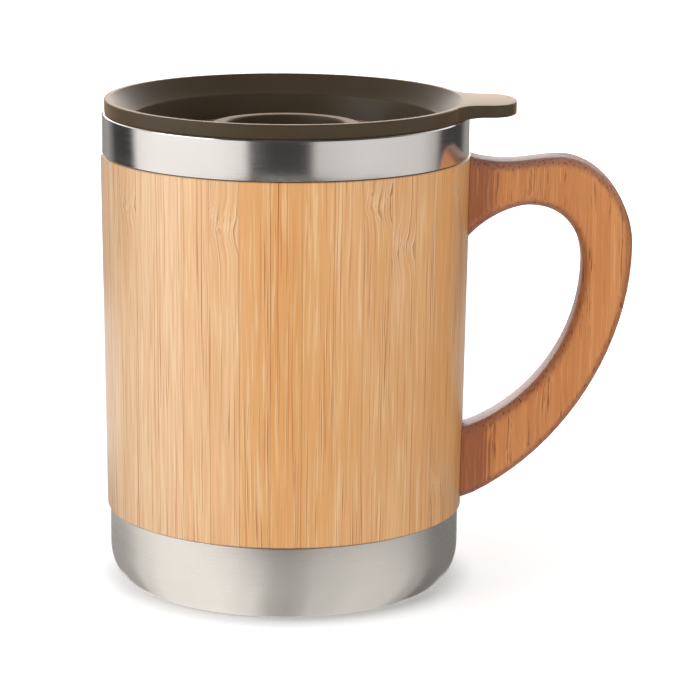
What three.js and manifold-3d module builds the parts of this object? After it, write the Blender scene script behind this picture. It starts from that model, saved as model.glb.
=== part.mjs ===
// A lidded mug: two steel walls inside a sleeve of glued bamboo staves, with a bamboo handle and a
// press-in plastic lid that has a twist closure.
// Millimetres, +Z up. The origin is the centre of the flat base, the handle points along +X, and the
// lid's sip hole is on the -Y side, where the mouth of a right-handed drinker is.

import * as THREE from "three";
import { mergeVertices } from "three/addons/utils/BufferGeometryUtils.js";
import Module from "manifold-3d";

const wasm = await Module();
wasm.setup();

// Steel vessel
const COLLAR_RADIUS = 42; // polished band under the lid
const COLLAR_HEIGHT = 9.1;
const COLLAR_EDGE = 0.2; // rounding of the band's lower edge
const LIP_RADIUS = 0.6; // rounding of the band's upper edge
const STEEL_WALL = 0.5;
const AIR_GAP = 2.2; // between the two steel walls
const FLOOR_GAP = 2.5; // between the two steel floors
const MOUTH_GAP = 0.4; // between the walls where the inner cup widens for the lid
const MOUTH_BEND = 1; // bend from the inner cup's wall to its rim
const LID_SEAT_DEPTH = 13; // wide part of the inner cup, below the rim
const LINER_CORNER = 8; // rounded corner of the inner cup's floor
const PAN_RIM = 3; // upturned rim of the pan that closes the shell
const PAN_CORNER = 1.5;

// Satin steel base
const BASE_HEIGHT = 17.5;
const BASE_CORNER = { width: 5.5, height: 8.5 }; // the rounding is a quarter of an ellipse
const BASE_INSET = 0.65; // how far the base stands inside the sleeve's lower edge
const SHELL_FOOT_DROP = 1.5; // how far the shell reaches below the top of the base's corner

// Bamboo sleeve
const STAVES = 38;
const STAVE_TURN = 1.6; // degrees from +X to the first joint between staves
const SLEEVE_HEIGHT = 82.6;
const SLEEVE_PROUD = 0.4; // how far the sleeve stands out from the collar
const SLEEVE_TAPER = 1.1; // radius lost from the top of the sleeve to its bottom
const SLEEVE_WALL = 2.1; // at the bottom, where it is thinnest
const SLEEVE_EDGE = 0.4; // rounding of the sleeve's lower edge
const GLUE_LINE = 0.1;

// Bamboo handle. Reaches are from the sleeve's upper edge, drops are from the top of the sleeve and
// rises are from its bottom. Pulls are the lengths of the curves' control arms.
const HANDLE_THICKNESS = 11.5;
const HANDLE_EDGE = 2.8; // rounding of the sawn edges
const HANDLE_REACH = 37.4;
const GRIP_WIDTH = 11.5;
const ROOT_SINK = 8; // how far the sawn outline runs on into the sleeve before it is coped
const GLUE_GAP = 0.3; // between the coped ends and the sleeve
const UPPER_ROOT = { reach: -0.9, top: 0.05, bottom: 19.4 };
const LOWER_ROOT = { reach: -1.4, top: 18.4, bottom: 1.5 };
const DIP_PULL = { out: 10, down: 2.7 };
const CREST = { reach: 20.6, drop: 0.15, pullIn: 7.1, pullOut: 8.6 };
const KNUCKLE = { drop: 20.8, pullUp: 10.8, pullDown: 24.5 };
const TAIL_PULL = { out: 23, up: 10.2 };
const FINGER_TOP = { reach: 13.6, drop: 11.3, pullIn: 3.9, pullOut: 9.1 };
const FINGER_SIDE = { drop: 25.2, pullUp: 6.4, pullDown: 18.8 };
const FINGER_FLOOR_PULL = { out: 14.7, up: 5.1 };
const FINGER_ROOT_PULL = { out: 3.9, up: 5 };

// Handle screws, driven outwards from the sleeve's bore
const SCREW_LENGTH = 14;
const SCREW_RADIUS = 1.5;
const SCREW_POINT = 3;
const SCREW_HEAD_RADIUS = 2.8;
const SCREW_HEAD_HEIGHT = 1.5;
const SCREW_HEAD_EDGE = 0.3; // straight edge of the countersunk head
const SCREW_SINK = 0.1; // head below the bore
const SCREW_FIT = 0.2;
const UPPER_SCREW_DROP = 7.2;
const LOWER_SCREW_RISE = 13.4;

// Lid
const FLANGE_INSET = 0.5; // how far the flange stands inside the collar
const FLANGE_THICKNESS = 3.15;
const FLANGE_EDGE = 0.3;
const LID_WALL = 1.4;
const PLUG_CLEARANCE = 1; // from the plug to the cup's mouth
const PLUG_CHAMFER = 0.6;
const WELL_DEPTH = 11.2;
const WELL_DRAFT = 0.8;
const WELL_CORNER = 0.8;
const LID_FLOOR = 1.8;
const FUNNEL = { depth: 4.2, pullIn: 1.8, pullDown: 1.4, throatOut: 1.8, throatUp: 0.9 };
const TAB = { reach: 11.2, rootWidth: 31, neckWidth: 20.2, neckReach: 4.6, tipPull: 6.4, sidePull: 4 };

// Lid gasket
const GROOVE_RISE = 2.2;
const GROOVE_HEIGHT = 3.6;
const GROOVE_DEPTH = 0.9;
const GASKET_FIT = 0.15; // between the ring and its groove
const GASKET_CLEARANCE = 0.3; // from the ring's lips to the cup's mouth
const GASKET_LIP = 0.9; // height of one lip

// Twist closure
const TURN_GAP = 0.2; // running gap above and below the lid's floor
const CLOSURE_TRAVEL = 90; // degrees from shut to open
const PLATE_THICKNESS = 1.6;
const PLATE_CLEARANCE = 1.2; // from the plate's edge to the well's wall
const KNOB_RADIUS = 17.4;
const KNOB_WIDTH = 3.4;
const KNOB_HEIGHT = 3.35;
const KNOB_EDGE = 0.5;
const STEM_RADIUS = 4;
const STEM_FIT = 0.2;
const SNAP_OVERLAP = 0.7; // how far the snap head reaches past the hole
const SNAP_HEIGHT = 1.4;
const SNAP_SLOT = 1.2;
const SLOT_ROOM = 0.6; // how far the snap's slots reach up into the lid's floor
const SIP_WIDTH = 6;
const SIP_MARGIN = 1.1; // from the sip hole to the bottom of the plate's notch
const SIP_SPAN = 26; // degrees between the ends' centres
const SIP_ANGLE = -90;
const VENT_RADIUS = 1.5;
const LUG_ANGLE = 45;
const LUG_SPAN = 8;
const NOTCH_DEPTH = 1.6;
const NOTCH_ROOM = 1; // degrees of play past each end of the travel
const LUG_ROOM = 0.4; // from the lug to the bottom of the notch

// Fits
const SEAT_GAP = 0.1; // between pieces that rest on each other
const SLIP_GAP = 0.2; // between the shell and what slides over it
const WELD_GAP = 0.1;

// Fineness of the curves
const ARC_STEPS = 3;
const SMALL_ARC_STEPS = 2;
const CURVE_STEPS = 6;
const SCREW_FACETS = 16;
const CUT_MARGIN = 2; // how far a cutting tool runs past what it cuts
const MERGE_DISTANCE = 1e-4; // points closer than this are one vertex

// Heights, from the floor up
const sleeveBottom = BASE_HEIGHT + SEAT_GAP;
const sleeveTop = sleeveBottom + SLEEVE_HEIGHT;
const collarBottom = sleeveTop + SEAT_GAP;
const rimTop = collarBottom + COLLAR_HEIGHT;
const lidSeat = rimTop + SEAT_GAP;
const shellFoot = BASE_CORNER.height - SHELL_FOOT_DROP;
const linerFoot = shellFoot + STEEL_WALL + FLOOR_GAP;

// Radii, from the outside in
const sleeveTopRadius = COLLAR_RADIUS + SLEEVE_PROUD;
const sleeveBottomRadius = sleeveTopRadius - SLEEVE_TAPER;
const baseRadius = sleeveBottomRadius - BASE_INSET;
const sleeveBore = sleeveBottomRadius - SLEEVE_WALL;
const shellRadius = sleeveBore - SLIP_GAP;
const shellBore = shellRadius - STEEL_WALL;
const linerRadius = shellBore - AIR_GAP;
const mouthRadius = shellBore - MOUTH_GAP - STEEL_WALL;
const flangeRadius = COLLAR_RADIUS - FLANGE_INSET;
const crestRadius = flangeRadius - FLANGE_EDGE;
const plugRadius = mouthRadius - PLUG_CLEARANCE;
const throatRadius = plugRadius - LID_WALL;
const wellRadius = throatRadius - WELL_DRAFT;
const plateRadius = wellRadius - PLATE_CLEARANCE;
const sipRadius = plateRadius - NOTCH_DEPTH - SIP_MARGIN - SIP_WIDTH / 2;
const stemBore = STEM_RADIUS + STEM_FIT;

// Heights inside the lid, from the underside of its flange
const wellFloor = FLANGE_THICKNESS - WELL_DEPTH;
const plugFoot = wellFloor - LID_FLOOR;
const grooveBottom = plugFoot + GROOVE_RISE;
const grooveTop = grooveBottom + GROOVE_HEIGHT;
const grooveRadius = plugRadius - GROOVE_DEPTH;
const plateBottom = wellFloor + TURN_GAP;
const plateTop = plateBottom + PLATE_THICKNESS;

const radians = THREE.MathUtils.degToRad;
const point = (x, y) => new THREE.Vector2(x, y);

// Points on an arc, both ends included. Angles are in degrees from the first axis to the second.
function arc(centreX, centreY, radius, from, to, steps = ARC_STEPS) {
  return Array.from({ length: steps + 1 }, (_, i) => {
    const angle = radians(from + ((to - from) * i) / steps);
    return point(centreX + radius * Math.cos(angle), centreY + radius * Math.sin(angle));
  });
}

function solidOf(geometry) {
  geometry.deleteAttribute("normal");
  geometry.deleteAttribute("uv");
  const merged = mergeVertices(geometry, MERGE_DISTANCE);
  const vertProperties = merged.attributes.position.array;
  const triVerts = new Uint32Array(merged.index.array);
  return new wasm.Manifold(new wasm.Mesh({ numProp: 3, vertProperties, triVerts }));
}

function geometryOf(solid) {
  const { vertProperties, triVerts } = solid.getMesh();
  const geometry = new THREE.BufferGeometry();
  geometry.setAttribute("position", new THREE.BufferAttribute(vertProperties, 3));
  geometry.setIndex(new THREE.BufferAttribute(triVerts, 1));
  geometry.computeVertexNormals();
  return geometry;
}

// Turns a profile of (radius, height) points about +Z. It runs up the outside and down the inside.
// Each facet lies on one stave, so that coaxial pieces keep an even gap all round.
function turned(profile, facets = STAVES) {
  const geometry = new THREE.LatheGeometry(profile, facets, radians(90 + STAVE_TURN));
  return solidOf(geometry.rotateX(Math.PI / 2));
}

function closedRing(profile, facets) {
  return turned([...profile, profile[0].clone()], facets);
}

// A plan shape raised from one height to another
function raised(shape, from, to) {
  const options = { depth: to - from, bevelEnabled: false, curveSegments: CURVE_STEPS };
  return solidOf(new THREE.ExtrudeGeometry(shape, options).translate(0, 0, from));
}

// A plan sector between two radii and two angles in degrees
function sectorShape(inner, outer, from, to) {
  const shape = new THREE.Shape();
  shape.absarc(0, 0, outer, radians(from), radians(to), false);
  shape.absarc(0, 0, inner, radians(to), radians(from), true);
  return shape;
}

// A plan slot with round ends that follows an arc about the axis
function arcSlotShape(radius, width, angle, span) {
  const from = radians(angle - span / 2);
  const to = radians(angle + span / 2);
  const half = width / 2;
  const shape = new THREE.Shape();
  const roundEnd = (end, turn) => {
    shape.absarc(radius * Math.cos(end), radius * Math.sin(end), half, turn, turn + Math.PI, false);
  };
  shape.absarc(0, 0, radius + half, from, to, false);
  roundEnd(to, to);
  shape.absarc(0, 0, radius - half, to, from, true);
  roundEnd(from, from + Math.PI);
  return shape;
}

// The cup that holds the drink. It widens near the top for the lid's plug and turns out to the rim.
function innerCup() {
  const cornerX = linerRadius - LINER_CORNER;
  const cornerZ = linerFoot + LINER_CORNER;
  const bendX = mouthRadius + MOUTH_BEND;
  const bendZ = rimTop - MOUTH_BEND;
  const rimEdge = COLLAR_RADIUS - LIP_RADIUS - WELD_GAP;
  const ledge = rimTop - LID_SEAT_DEPTH;
  const bore = linerRadius - STEEL_WALL;
  const step = mouthRadius - bore;
  return turned([
    point(0, linerFoot),
    ...arc(cornerX, cornerZ, LINER_CORNER, -90, 0),
    point(linerRadius, ledge - step),
    point(mouthRadius + STEEL_WALL, ledge),
    ...arc(bendX, bendZ, MOUTH_BEND - STEEL_WALL, 180, 90, SMALL_ARC_STEPS),
    point(rimEdge, rimTop - STEEL_WALL),
    point(rimEdge, rimTop),
    ...arc(bendX, bendZ, MOUTH_BEND, 90, 180),
    point(mouthRadius, ledge),
    point(bore, ledge - step),
    ...arc(cornerX, cornerZ, LINER_CORNER - STEEL_WALL, 0, -90),
    point(0, linerFoot + STEEL_WALL),
  ]);
}

// The outer steel wall. Above the sleeve it flares out into the polished collar.
function outerShell() {
  const lipX = COLLAR_RADIUS - LIP_RADIUS;
  const lipZ = rimTop - LIP_RADIUS;
  return closedRing([
    point(shellRadius, shellFoot),
    point(shellRadius, collarBottom),
    point(COLLAR_RADIUS - COLLAR_EDGE, collarBottom),
    point(COLLAR_RADIUS, collarBottom + COLLAR_EDGE),
    ...arc(lipX, lipZ, LIP_RADIUS, 0, 90),
    ...arc(lipX, lipZ, LIP_RADIUS - STEEL_WALL, 90, 0),
    point(COLLAR_RADIUS - STEEL_WALL, collarBottom + STEEL_WALL),
    point(shellBore, collarBottom + STEEL_WALL),
    point(shellBore, shellFoot),
  ]);
}

// The pan welded into the foot of the outer shell, which seals the space between the two walls
function shellBottom() {
  const radius = shellBore - WELD_GAP;
  const cornerX = radius - PAN_CORNER;
  const cornerZ = shellFoot + PAN_CORNER;
  return turned([
    point(0, shellFoot),
    ...arc(cornerX, cornerZ, PAN_CORNER, -90, 0, SMALL_ARC_STEPS),
    point(radius, shellFoot + PAN_RIM),
    point(radius - STEEL_WALL, shellFoot + PAN_RIM),
    ...arc(cornerX, cornerZ, PAN_CORNER - STEEL_WALL, 0, -90, SMALL_ARC_STEPS),
    point(0, shellFoot + STEEL_WALL),
  ]);
}

// The satin foot. Its top is turned in to grip the shell and to carry the sleeve.
function baseCup() {
  const { width, height } = BASE_CORNER;
  const opening = shellRadius + WELD_GAP;
  const cornerX = baseRadius - width;
  const corner = (inset, from, to) => {
    const [across, up] = [width - inset, height - inset];
    const curve = new THREE.EllipseCurve(cornerX, height, across, up, from, to, from > to);
    return curve.getPoints(CURVE_STEPS);
  };
  return turned([
    point(0, 0),
    ...corner(0, -Math.PI / 2, 0),
    point(baseRadius, BASE_HEIGHT),
    point(opening, BASE_HEIGHT),
    point(opening, BASE_HEIGHT - STEEL_WALL),
    point(baseRadius - STEEL_WALL, BASE_HEIGHT - STEEL_WALL),
    ...corner(STEEL_WALL, 0, -Math.PI / 2),
    point(0, STEEL_WALL),
  ]);
}

// A countersunk wood screw along +Z from the face of its head, or its hole when room is given
function screw(room = 0) {
  const start = room ? -CUT_MARGIN : 0;
  return turned(
    [
      point(0, start),
      point(SCREW_HEAD_RADIUS + room, start),
      point(SCREW_HEAD_RADIUS + room, SCREW_HEAD_EDGE + room),
      point(SCREW_RADIUS + room, SCREW_HEAD_HEIGHT + room),
      point(SCREW_RADIUS + room, SCREW_LENGTH - SCREW_POINT + room),
      point(0, SCREW_LENGTH + room),
    ],
    SCREW_FACETS,
  );
}

const screwX = sleeveBore + SCREW_SINK;
const screwPlaces = {
  handle_screw_upper: new THREE.Vector3(screwX, 0, sleeveTop - UPPER_SCREW_DROP),
  handle_screw_lower: new THREE.Vector3(screwX, 0, sleeveBottom + LOWER_SCREW_RISE),
};

function screwHoles() {
  const holes = Object.values(screwPlaces).map((place) => {
    const hole = geometryOf(screw(SCREW_FIT));
    return solidOf(hole.rotateY(Math.PI / 2).translate(place.x, place.y, place.z));
  });
  return holes[0].add(holes[1]);
}

// The sleeve is turned as one tube, split at its glue lines and drilled for the handle's screws.
function sleeveStaves(holes) {
  const edgeX = sleeveBottomRadius - SLEEVE_EDGE;
  const edgeZ = sleeveBottom + SLEEVE_EDGE;
  const tube = closedRing([
    point(sleeveBore, sleeveBottom),
    ...arc(edgeX, edgeZ, SLEEVE_EDGE, -90, 0),
    point(sleeveTopRadius, sleeveTop),
    point(sleeveBore, sleeveTop),
  ]).subtract(holes);
  const half = Math.PI / STAVES;
  const apex = GLUE_LINE / 2 / Math.sin(half);
  const reach = sleeveTopRadius + CUT_MARGIN;
  const side = (reach - apex) * Math.tan(half);
  const wedge = new THREE.Shape([point(apex, 0), point(reach, -side), point(reach, side)]);
  return Array.from({ length: STAVES }, (_, i) => {
    const sector = geometryOf(raised(wedge, sleeveBottom - CUT_MARGIN, sleeveTop + CUT_MARGIN));
    return tube.intersect(solidOf(sector.rotateZ(radians(STAVE_TURN) + (2 * i + 1) * half)));
  });
}

// The handle's outline, in (reach from the axis, height). It runs round the outer edge from the upper
// root to the lower one, and back along the edge of the finger hole.
function handleOutline() {
  const out = (reach) => sleeveTopRadius + reach;
  const down = (drop) => sleeveTop - drop;
  const up = (rise) => sleeveBottom + rise;
  const sunk = out(-ROOT_SINK);
  const crest = point(out(CREST.reach), down(CREST.drop));
  const knuckle = point(out(HANDLE_REACH), down(KNUCKLE.drop));
  const fingerSide = point(out(HANDLE_REACH - GRIP_WIDTH), down(FINGER_SIDE.drop));
  const fingerTop = point(out(FINGER_TOP.reach), down(FINGER_TOP.drop));
  const upperX = out(UPPER_ROOT.reach);
  const lowerX = out(LOWER_ROOT.reach);
  const rootTop = down(UPPER_ROOT.top);
  const rootUnder = down(UPPER_ROOT.bottom);
  const tailTop = up(LOWER_ROOT.top);
  const tailUnder = up(LOWER_ROOT.bottom);
  const shape = new THREE.Shape();
  const curveTo = (ax, ay, bx, by, end) => shape.bezierCurveTo(ax, ay, bx, by, end.x, end.y);
  shape.moveTo(sunk, rootTop);
  shape.lineTo(upperX, rootTop);
  curveTo(upperX + DIP_PULL.out, rootTop - DIP_PULL.down, crest.x - CREST.pullIn, crest.y, crest);
  curveTo(crest.x + CREST.pullOut, crest.y, knuckle.x, knuckle.y + KNUCKLE.pullUp, knuckle);
  const tail = point(lowerX, tailUnder);
  curveTo(knuckle.x, knuckle.y - KNUCKLE.pullDown, tail.x + TAIL_PULL.out, tail.y + TAIL_PULL.up, tail);
  shape.lineTo(sunk, tailUnder);
  shape.lineTo(sunk, tailTop);
  shape.lineTo(lowerX, tailTop);
  const floorX = lowerX + FINGER_FLOOR_PULL.out;
  const floorZ = tailTop + FINGER_FLOOR_PULL.up;
  curveTo(floorX, floorZ, fingerSide.x, fingerSide.y - FINGER_SIDE.pullDown, fingerSide);
  const sideZ = fingerSide.y + FINGER_SIDE.pullUp;
  curveTo(fingerSide.x, sideZ, fingerTop.x + FINGER_TOP.pullOut, fingerTop.y, fingerTop);
  const rootX = upperX + FINGER_ROOT_PULL.out;
  const rootZ = rootUnder + FINGER_ROOT_PULL.up;
  curveTo(fingerTop.x - FINGER_TOP.pullIn, fingerTop.y, rootX, rootZ, point(upperX, rootUnder));
  shape.lineTo(sunk, rootUnder);
  return shape;
}

// The handle is sawn from a board, rounded along its edges, coped to the sleeve and drilled.
function handle(holes) {
  const sawn = new THREE.ExtrudeGeometry(handleOutline(), {
    depth: HANDLE_THICKNESS - 2 * HANDLE_EDGE,
    bevelThickness: HANDLE_EDGE,
    bevelSize: HANDLE_EDGE,
    bevelOffset: -HANDLE_EDGE,
    bevelSegments: ARC_STEPS,
    curveSegments: CURVE_STEPS,
  });
  sawn.translate(0, 0, HANDLE_EDGE - HANDLE_THICKNESS / 2);
  const board = solidOf(sawn.rotateX(Math.PI / 2));
  const bottom = sleeveBottom - CUT_MARGIN;
  const top = sleeveTop + CUT_MARGIN;
  const sleeve = turned([
    point(0, bottom),
    point(sleeveBottomRadius + GLUE_GAP, bottom),
    point(sleeveBottomRadius + GLUE_GAP, sleeveBottom),
    point(sleeveTopRadius + GLUE_GAP, sleeveTop),
    point(sleeveTopRadius + GLUE_GAP, top),
    point(0, top),
  ]);
  return board.subtract(sleeve).subtract(holes);
}

// The thumb tab, a round tongue that flows out of the flange with hollow corners
function lidTab() {
  const rootY = TAB.rootWidth / 2;
  const rootX = Math.sqrt(flangeRadius ** 2 - rootY ** 2);
  const bendX = rootX + (TAB.sidePull * rootY) / flangeRadius;
  const bendY = rootY - (TAB.sidePull * rootX) / flangeRadius;
  const neckX = flangeRadius + TAB.neckReach;
  const neckY = TAB.neckWidth / 2;
  const tipX = flangeRadius + TAB.reach;
  const shape = new THREE.Shape();
  shape.moveTo(rootX, -rootY);
  shape.bezierCurveTo(bendX, -bendY, neckX - TAB.sidePull, -neckY, neckX, -neckY);
  shape.bezierCurveTo(neckX + TAB.sidePull, -neckY, tipX, -TAB.tipPull, tipX, 0);
  shape.bezierCurveTo(tipX, TAB.tipPull, neckX + TAB.sidePull, neckY, neckX, neckY);
  shape.bezierCurveTo(neckX - TAB.sidePull, neckY, bendX, bendY, rootX, rootY);
  shape.lineTo(0, rootY);
  shape.lineTo(0, -rootY);
  const crest = turned([
    point(0, -CUT_MARGIN),
    point(crestRadius, -CUT_MARGIN),
    point(crestRadius, FLANGE_THICKNESS + CUT_MARGIN),
    point(0, FLANGE_THICKNESS + CUT_MARGIN),
  ]);
  return raised(shape, 0, FLANGE_THICKNESS).subtract(crest);
}

// The lid: flange and tab, a funnel down to a well with a flat floor, and a plug with a gasket groove
function lidBody() {
  const funnel = new THREE.CubicBezierCurve(
    point(crestRadius, FLANGE_THICKNESS),
    point(crestRadius - FUNNEL.pullIn, FLANGE_THICKNESS - FUNNEL.pullDown),
    point(throatRadius + FUNNEL.throatOut, FLANGE_THICKNESS - FUNNEL.depth + FUNNEL.throatUp),
    point(throatRadius, FLANGE_THICKNESS - FUNNEL.depth),
  );
  const body = closedRing([
    point(stemBore, plugFoot),
    point(plugRadius - PLUG_CHAMFER, plugFoot),
    point(plugRadius, plugFoot + PLUG_CHAMFER),
    point(plugRadius, grooveBottom),
    point(grooveRadius, grooveBottom),
    point(grooveRadius, grooveTop),
    point(plugRadius, grooveTop),
    point(plugRadius, 0),
    point(flangeRadius - FLANGE_EDGE, 0),
    point(flangeRadius, FLANGE_EDGE),
    point(flangeRadius, FLANGE_THICKNESS - FLANGE_EDGE),
    ...funnel.getPoints(CURVE_STEPS),
    ...arc(wellRadius - WELL_CORNER, wellFloor + WELL_CORNER, WELL_CORNER, 0, -90, SMALL_ARC_STEPS),
    point(stemBore, wellFloor),
  ]);
  const lugInner = plateRadius - NOTCH_DEPTH + LUG_ROOM;
  const lugShape = sectorShape(lugInner, throatRadius, LUG_ANGLE - LUG_SPAN / 2, LUG_ANGLE + LUG_SPAN / 2);
  const lug = raised(lugShape, wellFloor - LID_FLOOR / 2, plateTop);
  const sipShape = arcSlotShape(sipRadius, SIP_WIDTH, SIP_ANGLE, SIP_SPAN);
  const sipHole = raised(sipShape, plugFoot - CUT_MARGIN, wellFloor + CUT_MARGIN);
  const ventHole = raised(ventShape(SIP_ANGLE + 180), plugFoot - CUT_MARGIN, wellFloor + CUT_MARGIN);
  return body.add(lidTab()).add(lug).subtract(sipHole).subtract(ventHole);
}

function ventShape(angle) {
  const x = sipRadius * Math.cos(radians(angle));
  const y = sipRadius * Math.sin(radians(angle));
  return new THREE.Shape().absarc(x, y, VENT_RADIUS, 0, 2 * Math.PI, false);
}

// The silicone ring in the plug's groove, with two sealing lips
function lidGasket() {
  const inner = grooveRadius + GASKET_FIT;
  const lip = mouthRadius - GASKET_CLEARANCE;
  const bottom = grooveBottom + GASKET_FIT;
  const top = grooveTop - GASKET_FIT;
  return closedRing([
    point(inner, bottom),
    point(plugRadius, bottom),
    point(lip, bottom + GASKET_LIP / 2),
    point(plugRadius, bottom + GASKET_LIP),
    point(plugRadius, top - GASKET_LIP),
    point(lip, top - GASKET_LIP / 2),
    point(plugRadius, top),
    point(inner, top),
  ]);
}

// The closure: a plate over the lid's floor with a ring to grip, on a stem that snaps through the floor.
// It is drawn shut, and opens when it turns by its travel.
function closureDisc() {
  const snapRadius = stemBore + SNAP_OVERLAP;
  const snapTop = plugFoot - TURN_GAP;
  const snapBottom = snapTop - SNAP_HEIGHT;
  const knobTop = plateTop + KNOB_HEIGHT;
  const knobBore = KNOB_RADIUS - KNOB_WIDTH;
  const disc = turned([
    point(0, snapBottom),
    point(STEM_RADIUS, snapBottom),
    point(snapRadius, snapTop - SNAP_HEIGHT / 2),
    point(snapRadius, snapTop),
    point(STEM_RADIUS, snapTop),
    point(STEM_RADIUS, plateBottom),
    point(plateRadius, plateBottom),
    point(plateRadius, plateTop),
    point(KNOB_RADIUS, plateTop),
    point(KNOB_RADIUS, knobTop - KNOB_EDGE),
    point(KNOB_RADIUS - KNOB_EDGE, knobTop),
    point(knobBore + KNOB_EDGE, knobTop),
    point(knobBore, knobTop - KNOB_EDGE),
    point(knobBore, plateTop),
    point(0, plateTop),
  ]);
  const shutAngle = SIP_ANGLE - CLOSURE_TRAVEL;
  const through = [plateBottom - CUT_MARGIN / 2, plateTop + CUT_MARGIN / 2];
  const window = raised(arcSlotShape(sipRadius, SIP_WIDTH, shutAngle, SIP_SPAN), ...through);
  const vent = raised(ventShape(shutAngle + 180), ...through);
  const notchEnd = LUG_ANGLE + LUG_SPAN / 2 + NOTCH_ROOM;
  const notchStart = LUG_ANGLE - LUG_SPAN / 2 - NOTCH_ROOM - CLOSURE_TRAVEL;
  const notchInner = plateRadius - NOTCH_DEPTH;
  const notch = raised(sectorShape(notchInner, plateRadius + CUT_MARGIN, notchStart, notchEnd), ...through);
  const slotHeight = plugFoot + SLOT_ROOM - snapBottom + CUT_MARGIN;
  const slotZ = snapBottom - CUT_MARGIN + slotHeight / 2;
  const slotLength = 2 * (snapRadius + CUT_MARGIN);
  const slotX = solidOf(new THREE.BoxGeometry(slotLength, SNAP_SLOT, slotHeight).translate(0, 0, slotZ));
  const slotY = solidOf(new THREE.BoxGeometry(SNAP_SLOT, slotLength, slotHeight).translate(0, 0, slotZ));
  return [window, vent, notch, slotX, slotY].reduce((rest, cut) => rest.subtract(cut), disc);
}

const finishes = {
  polishedSteel: { color: 0xc9c8c5, roughness: 0.18, metalness: 1 },
  satinSteel: { color: 0xb3b1ad, roughness: 0.38, metalness: 1 },
  innerSteel: { color: 0xbdbcb9, roughness: 0.3, metalness: 1 },
  screwSteel: { color: 0xb9b49f, roughness: 0.35, metalness: 1 },
  bamboo: { color: 0xdeaa6c, roughness: 0.55, metalness: 0 },
  handleBamboo: { color: 0xbe8255, roughness: 0.5, metalness: 0 },
  brownPlastic: { color: 0x4a4237, roughness: 0.45, metalness: 0 },
  silicone: { color: 0xd9d6cf, roughness: 0.6, metalness: 0 },
};

function piece(name, solid, finish) {
  const mesh = new THREE.Mesh(geometryOf(solid), new THREE.MeshStandardMaterial(finishes[finish]));
  mesh.name = name;
  return mesh;
}

const holes = screwHoles();

const vessel = new THREE.Group();
vessel.add(piece("inner_cup", innerCup(), "innerSteel"));
vessel.add(piece("outer_shell", outerShell(), "polishedSteel"));
vessel.add(piece("shell_bottom", shellBottom(), "satinSteel"));
vessel.add(piece("base_cup", baseCup(), "satinSteel"));

const sleeve = new THREE.Group();
sleeveStaves(holes).forEach((stave, i) => {
  const number = String(i + 1).padStart(2, "0");
  sleeve.add(piece("sleeve_stave_" + number, stave, "bamboo"));
});

const grip = new THREE.Group();
grip.add(piece("handle", handle(holes), "handleBamboo"));
for (const [name, place] of Object.entries(screwPlaces)) {
  const mesh = piece(name, screw(), "screwSteel");
  mesh.position.copy(place);
  mesh.rotation.y = Math.PI / 2;
  grip.add(mesh);
}

const lid = new THREE.Group();
lid.position.z = lidSeat;
lid.add(piece("lid_body", lidBody(), "brownPlastic"));
lid.add(piece("lid_gasket", lidGasket(), "silicone"));
lid.add(piece("closure_disc", closureDisc(), "brownPlastic"));

const mug = new THREE.Group();
mug.add(vessel, sleeve, grip, lid);

export default mug;
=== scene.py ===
# %% [markdown]
# A lidded mug of bamboo and steel
#
# An engineering model already gives every piece of this mug its place and its size, in plain facets.
# This lesson makes the pieces smooth and gives each one the finish of the real material: glued bamboo
# strips, a sawn bamboo handle, polished and satin steel, moulded plastic and silicone. The engineering
# model is loaded first, and every shape below takes its heights and radii from it.

import random
from math import atan2, cos, hypot, pi, radians, sin, sqrt

import bmesh
import bpy
from mathutils import Matrix, Vector
from mathutils.geometry import interpolate_bezier


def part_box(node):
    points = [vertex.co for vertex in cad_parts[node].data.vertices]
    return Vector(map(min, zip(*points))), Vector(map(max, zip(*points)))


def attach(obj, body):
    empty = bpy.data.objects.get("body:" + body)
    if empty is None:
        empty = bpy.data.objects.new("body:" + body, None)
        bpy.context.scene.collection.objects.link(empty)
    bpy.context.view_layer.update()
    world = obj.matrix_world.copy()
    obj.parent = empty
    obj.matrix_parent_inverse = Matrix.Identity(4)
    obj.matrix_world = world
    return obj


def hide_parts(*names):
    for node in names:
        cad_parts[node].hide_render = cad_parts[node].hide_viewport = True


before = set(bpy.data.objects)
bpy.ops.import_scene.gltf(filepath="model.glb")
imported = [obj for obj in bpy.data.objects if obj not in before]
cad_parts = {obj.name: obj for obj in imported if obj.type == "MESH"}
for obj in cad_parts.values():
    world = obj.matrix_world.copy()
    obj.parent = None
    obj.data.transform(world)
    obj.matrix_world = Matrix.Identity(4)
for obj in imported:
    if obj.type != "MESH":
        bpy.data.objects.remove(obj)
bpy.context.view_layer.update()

# %% [markdown]
# Measuring the model
#
# Blender works in metres, but a mug is easier to think about in millimetres. Two helpers read a piece's
# height and its distance from the mug's axis in millimetres. Because the model's round pieces are
# polygons with their corners on the true circle, the farthest corner is the true radius.

# %% Read heights and radii in millimetres
MM = 0.001


def heights(node):
    low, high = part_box(node)
    return low.z / MM, high.z / MM


def radii(node):
    spread = [hypot(v.co.x, v.co.y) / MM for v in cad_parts[node].data.vertices]
    return min(spread), max(spread)


STEEL_WALL = 0.5
SLIP_GAP = 0.2  # between the steel shell and the sleeve round it
A_STAVE = "sleeve_stave_05"  # a plain one, with no screw hole
sleeve_foot, sleeve_top = heights(A_STAVE)
sleeve_bore, sleeve_radius = radii(A_STAVE)
shell_foot, rim_top = heights("outer_shell")
collar_radius = radii("outer_shell")[1]
shell_radius = sleeve_bore - SLIP_GAP
shell_bore = shell_radius - STEEL_WALL
print(f"Sleeve from {sleeve_foot:.1f} to {sleeve_top:.1f} mm, collar radius {collar_radius:.2f} mm")

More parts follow.
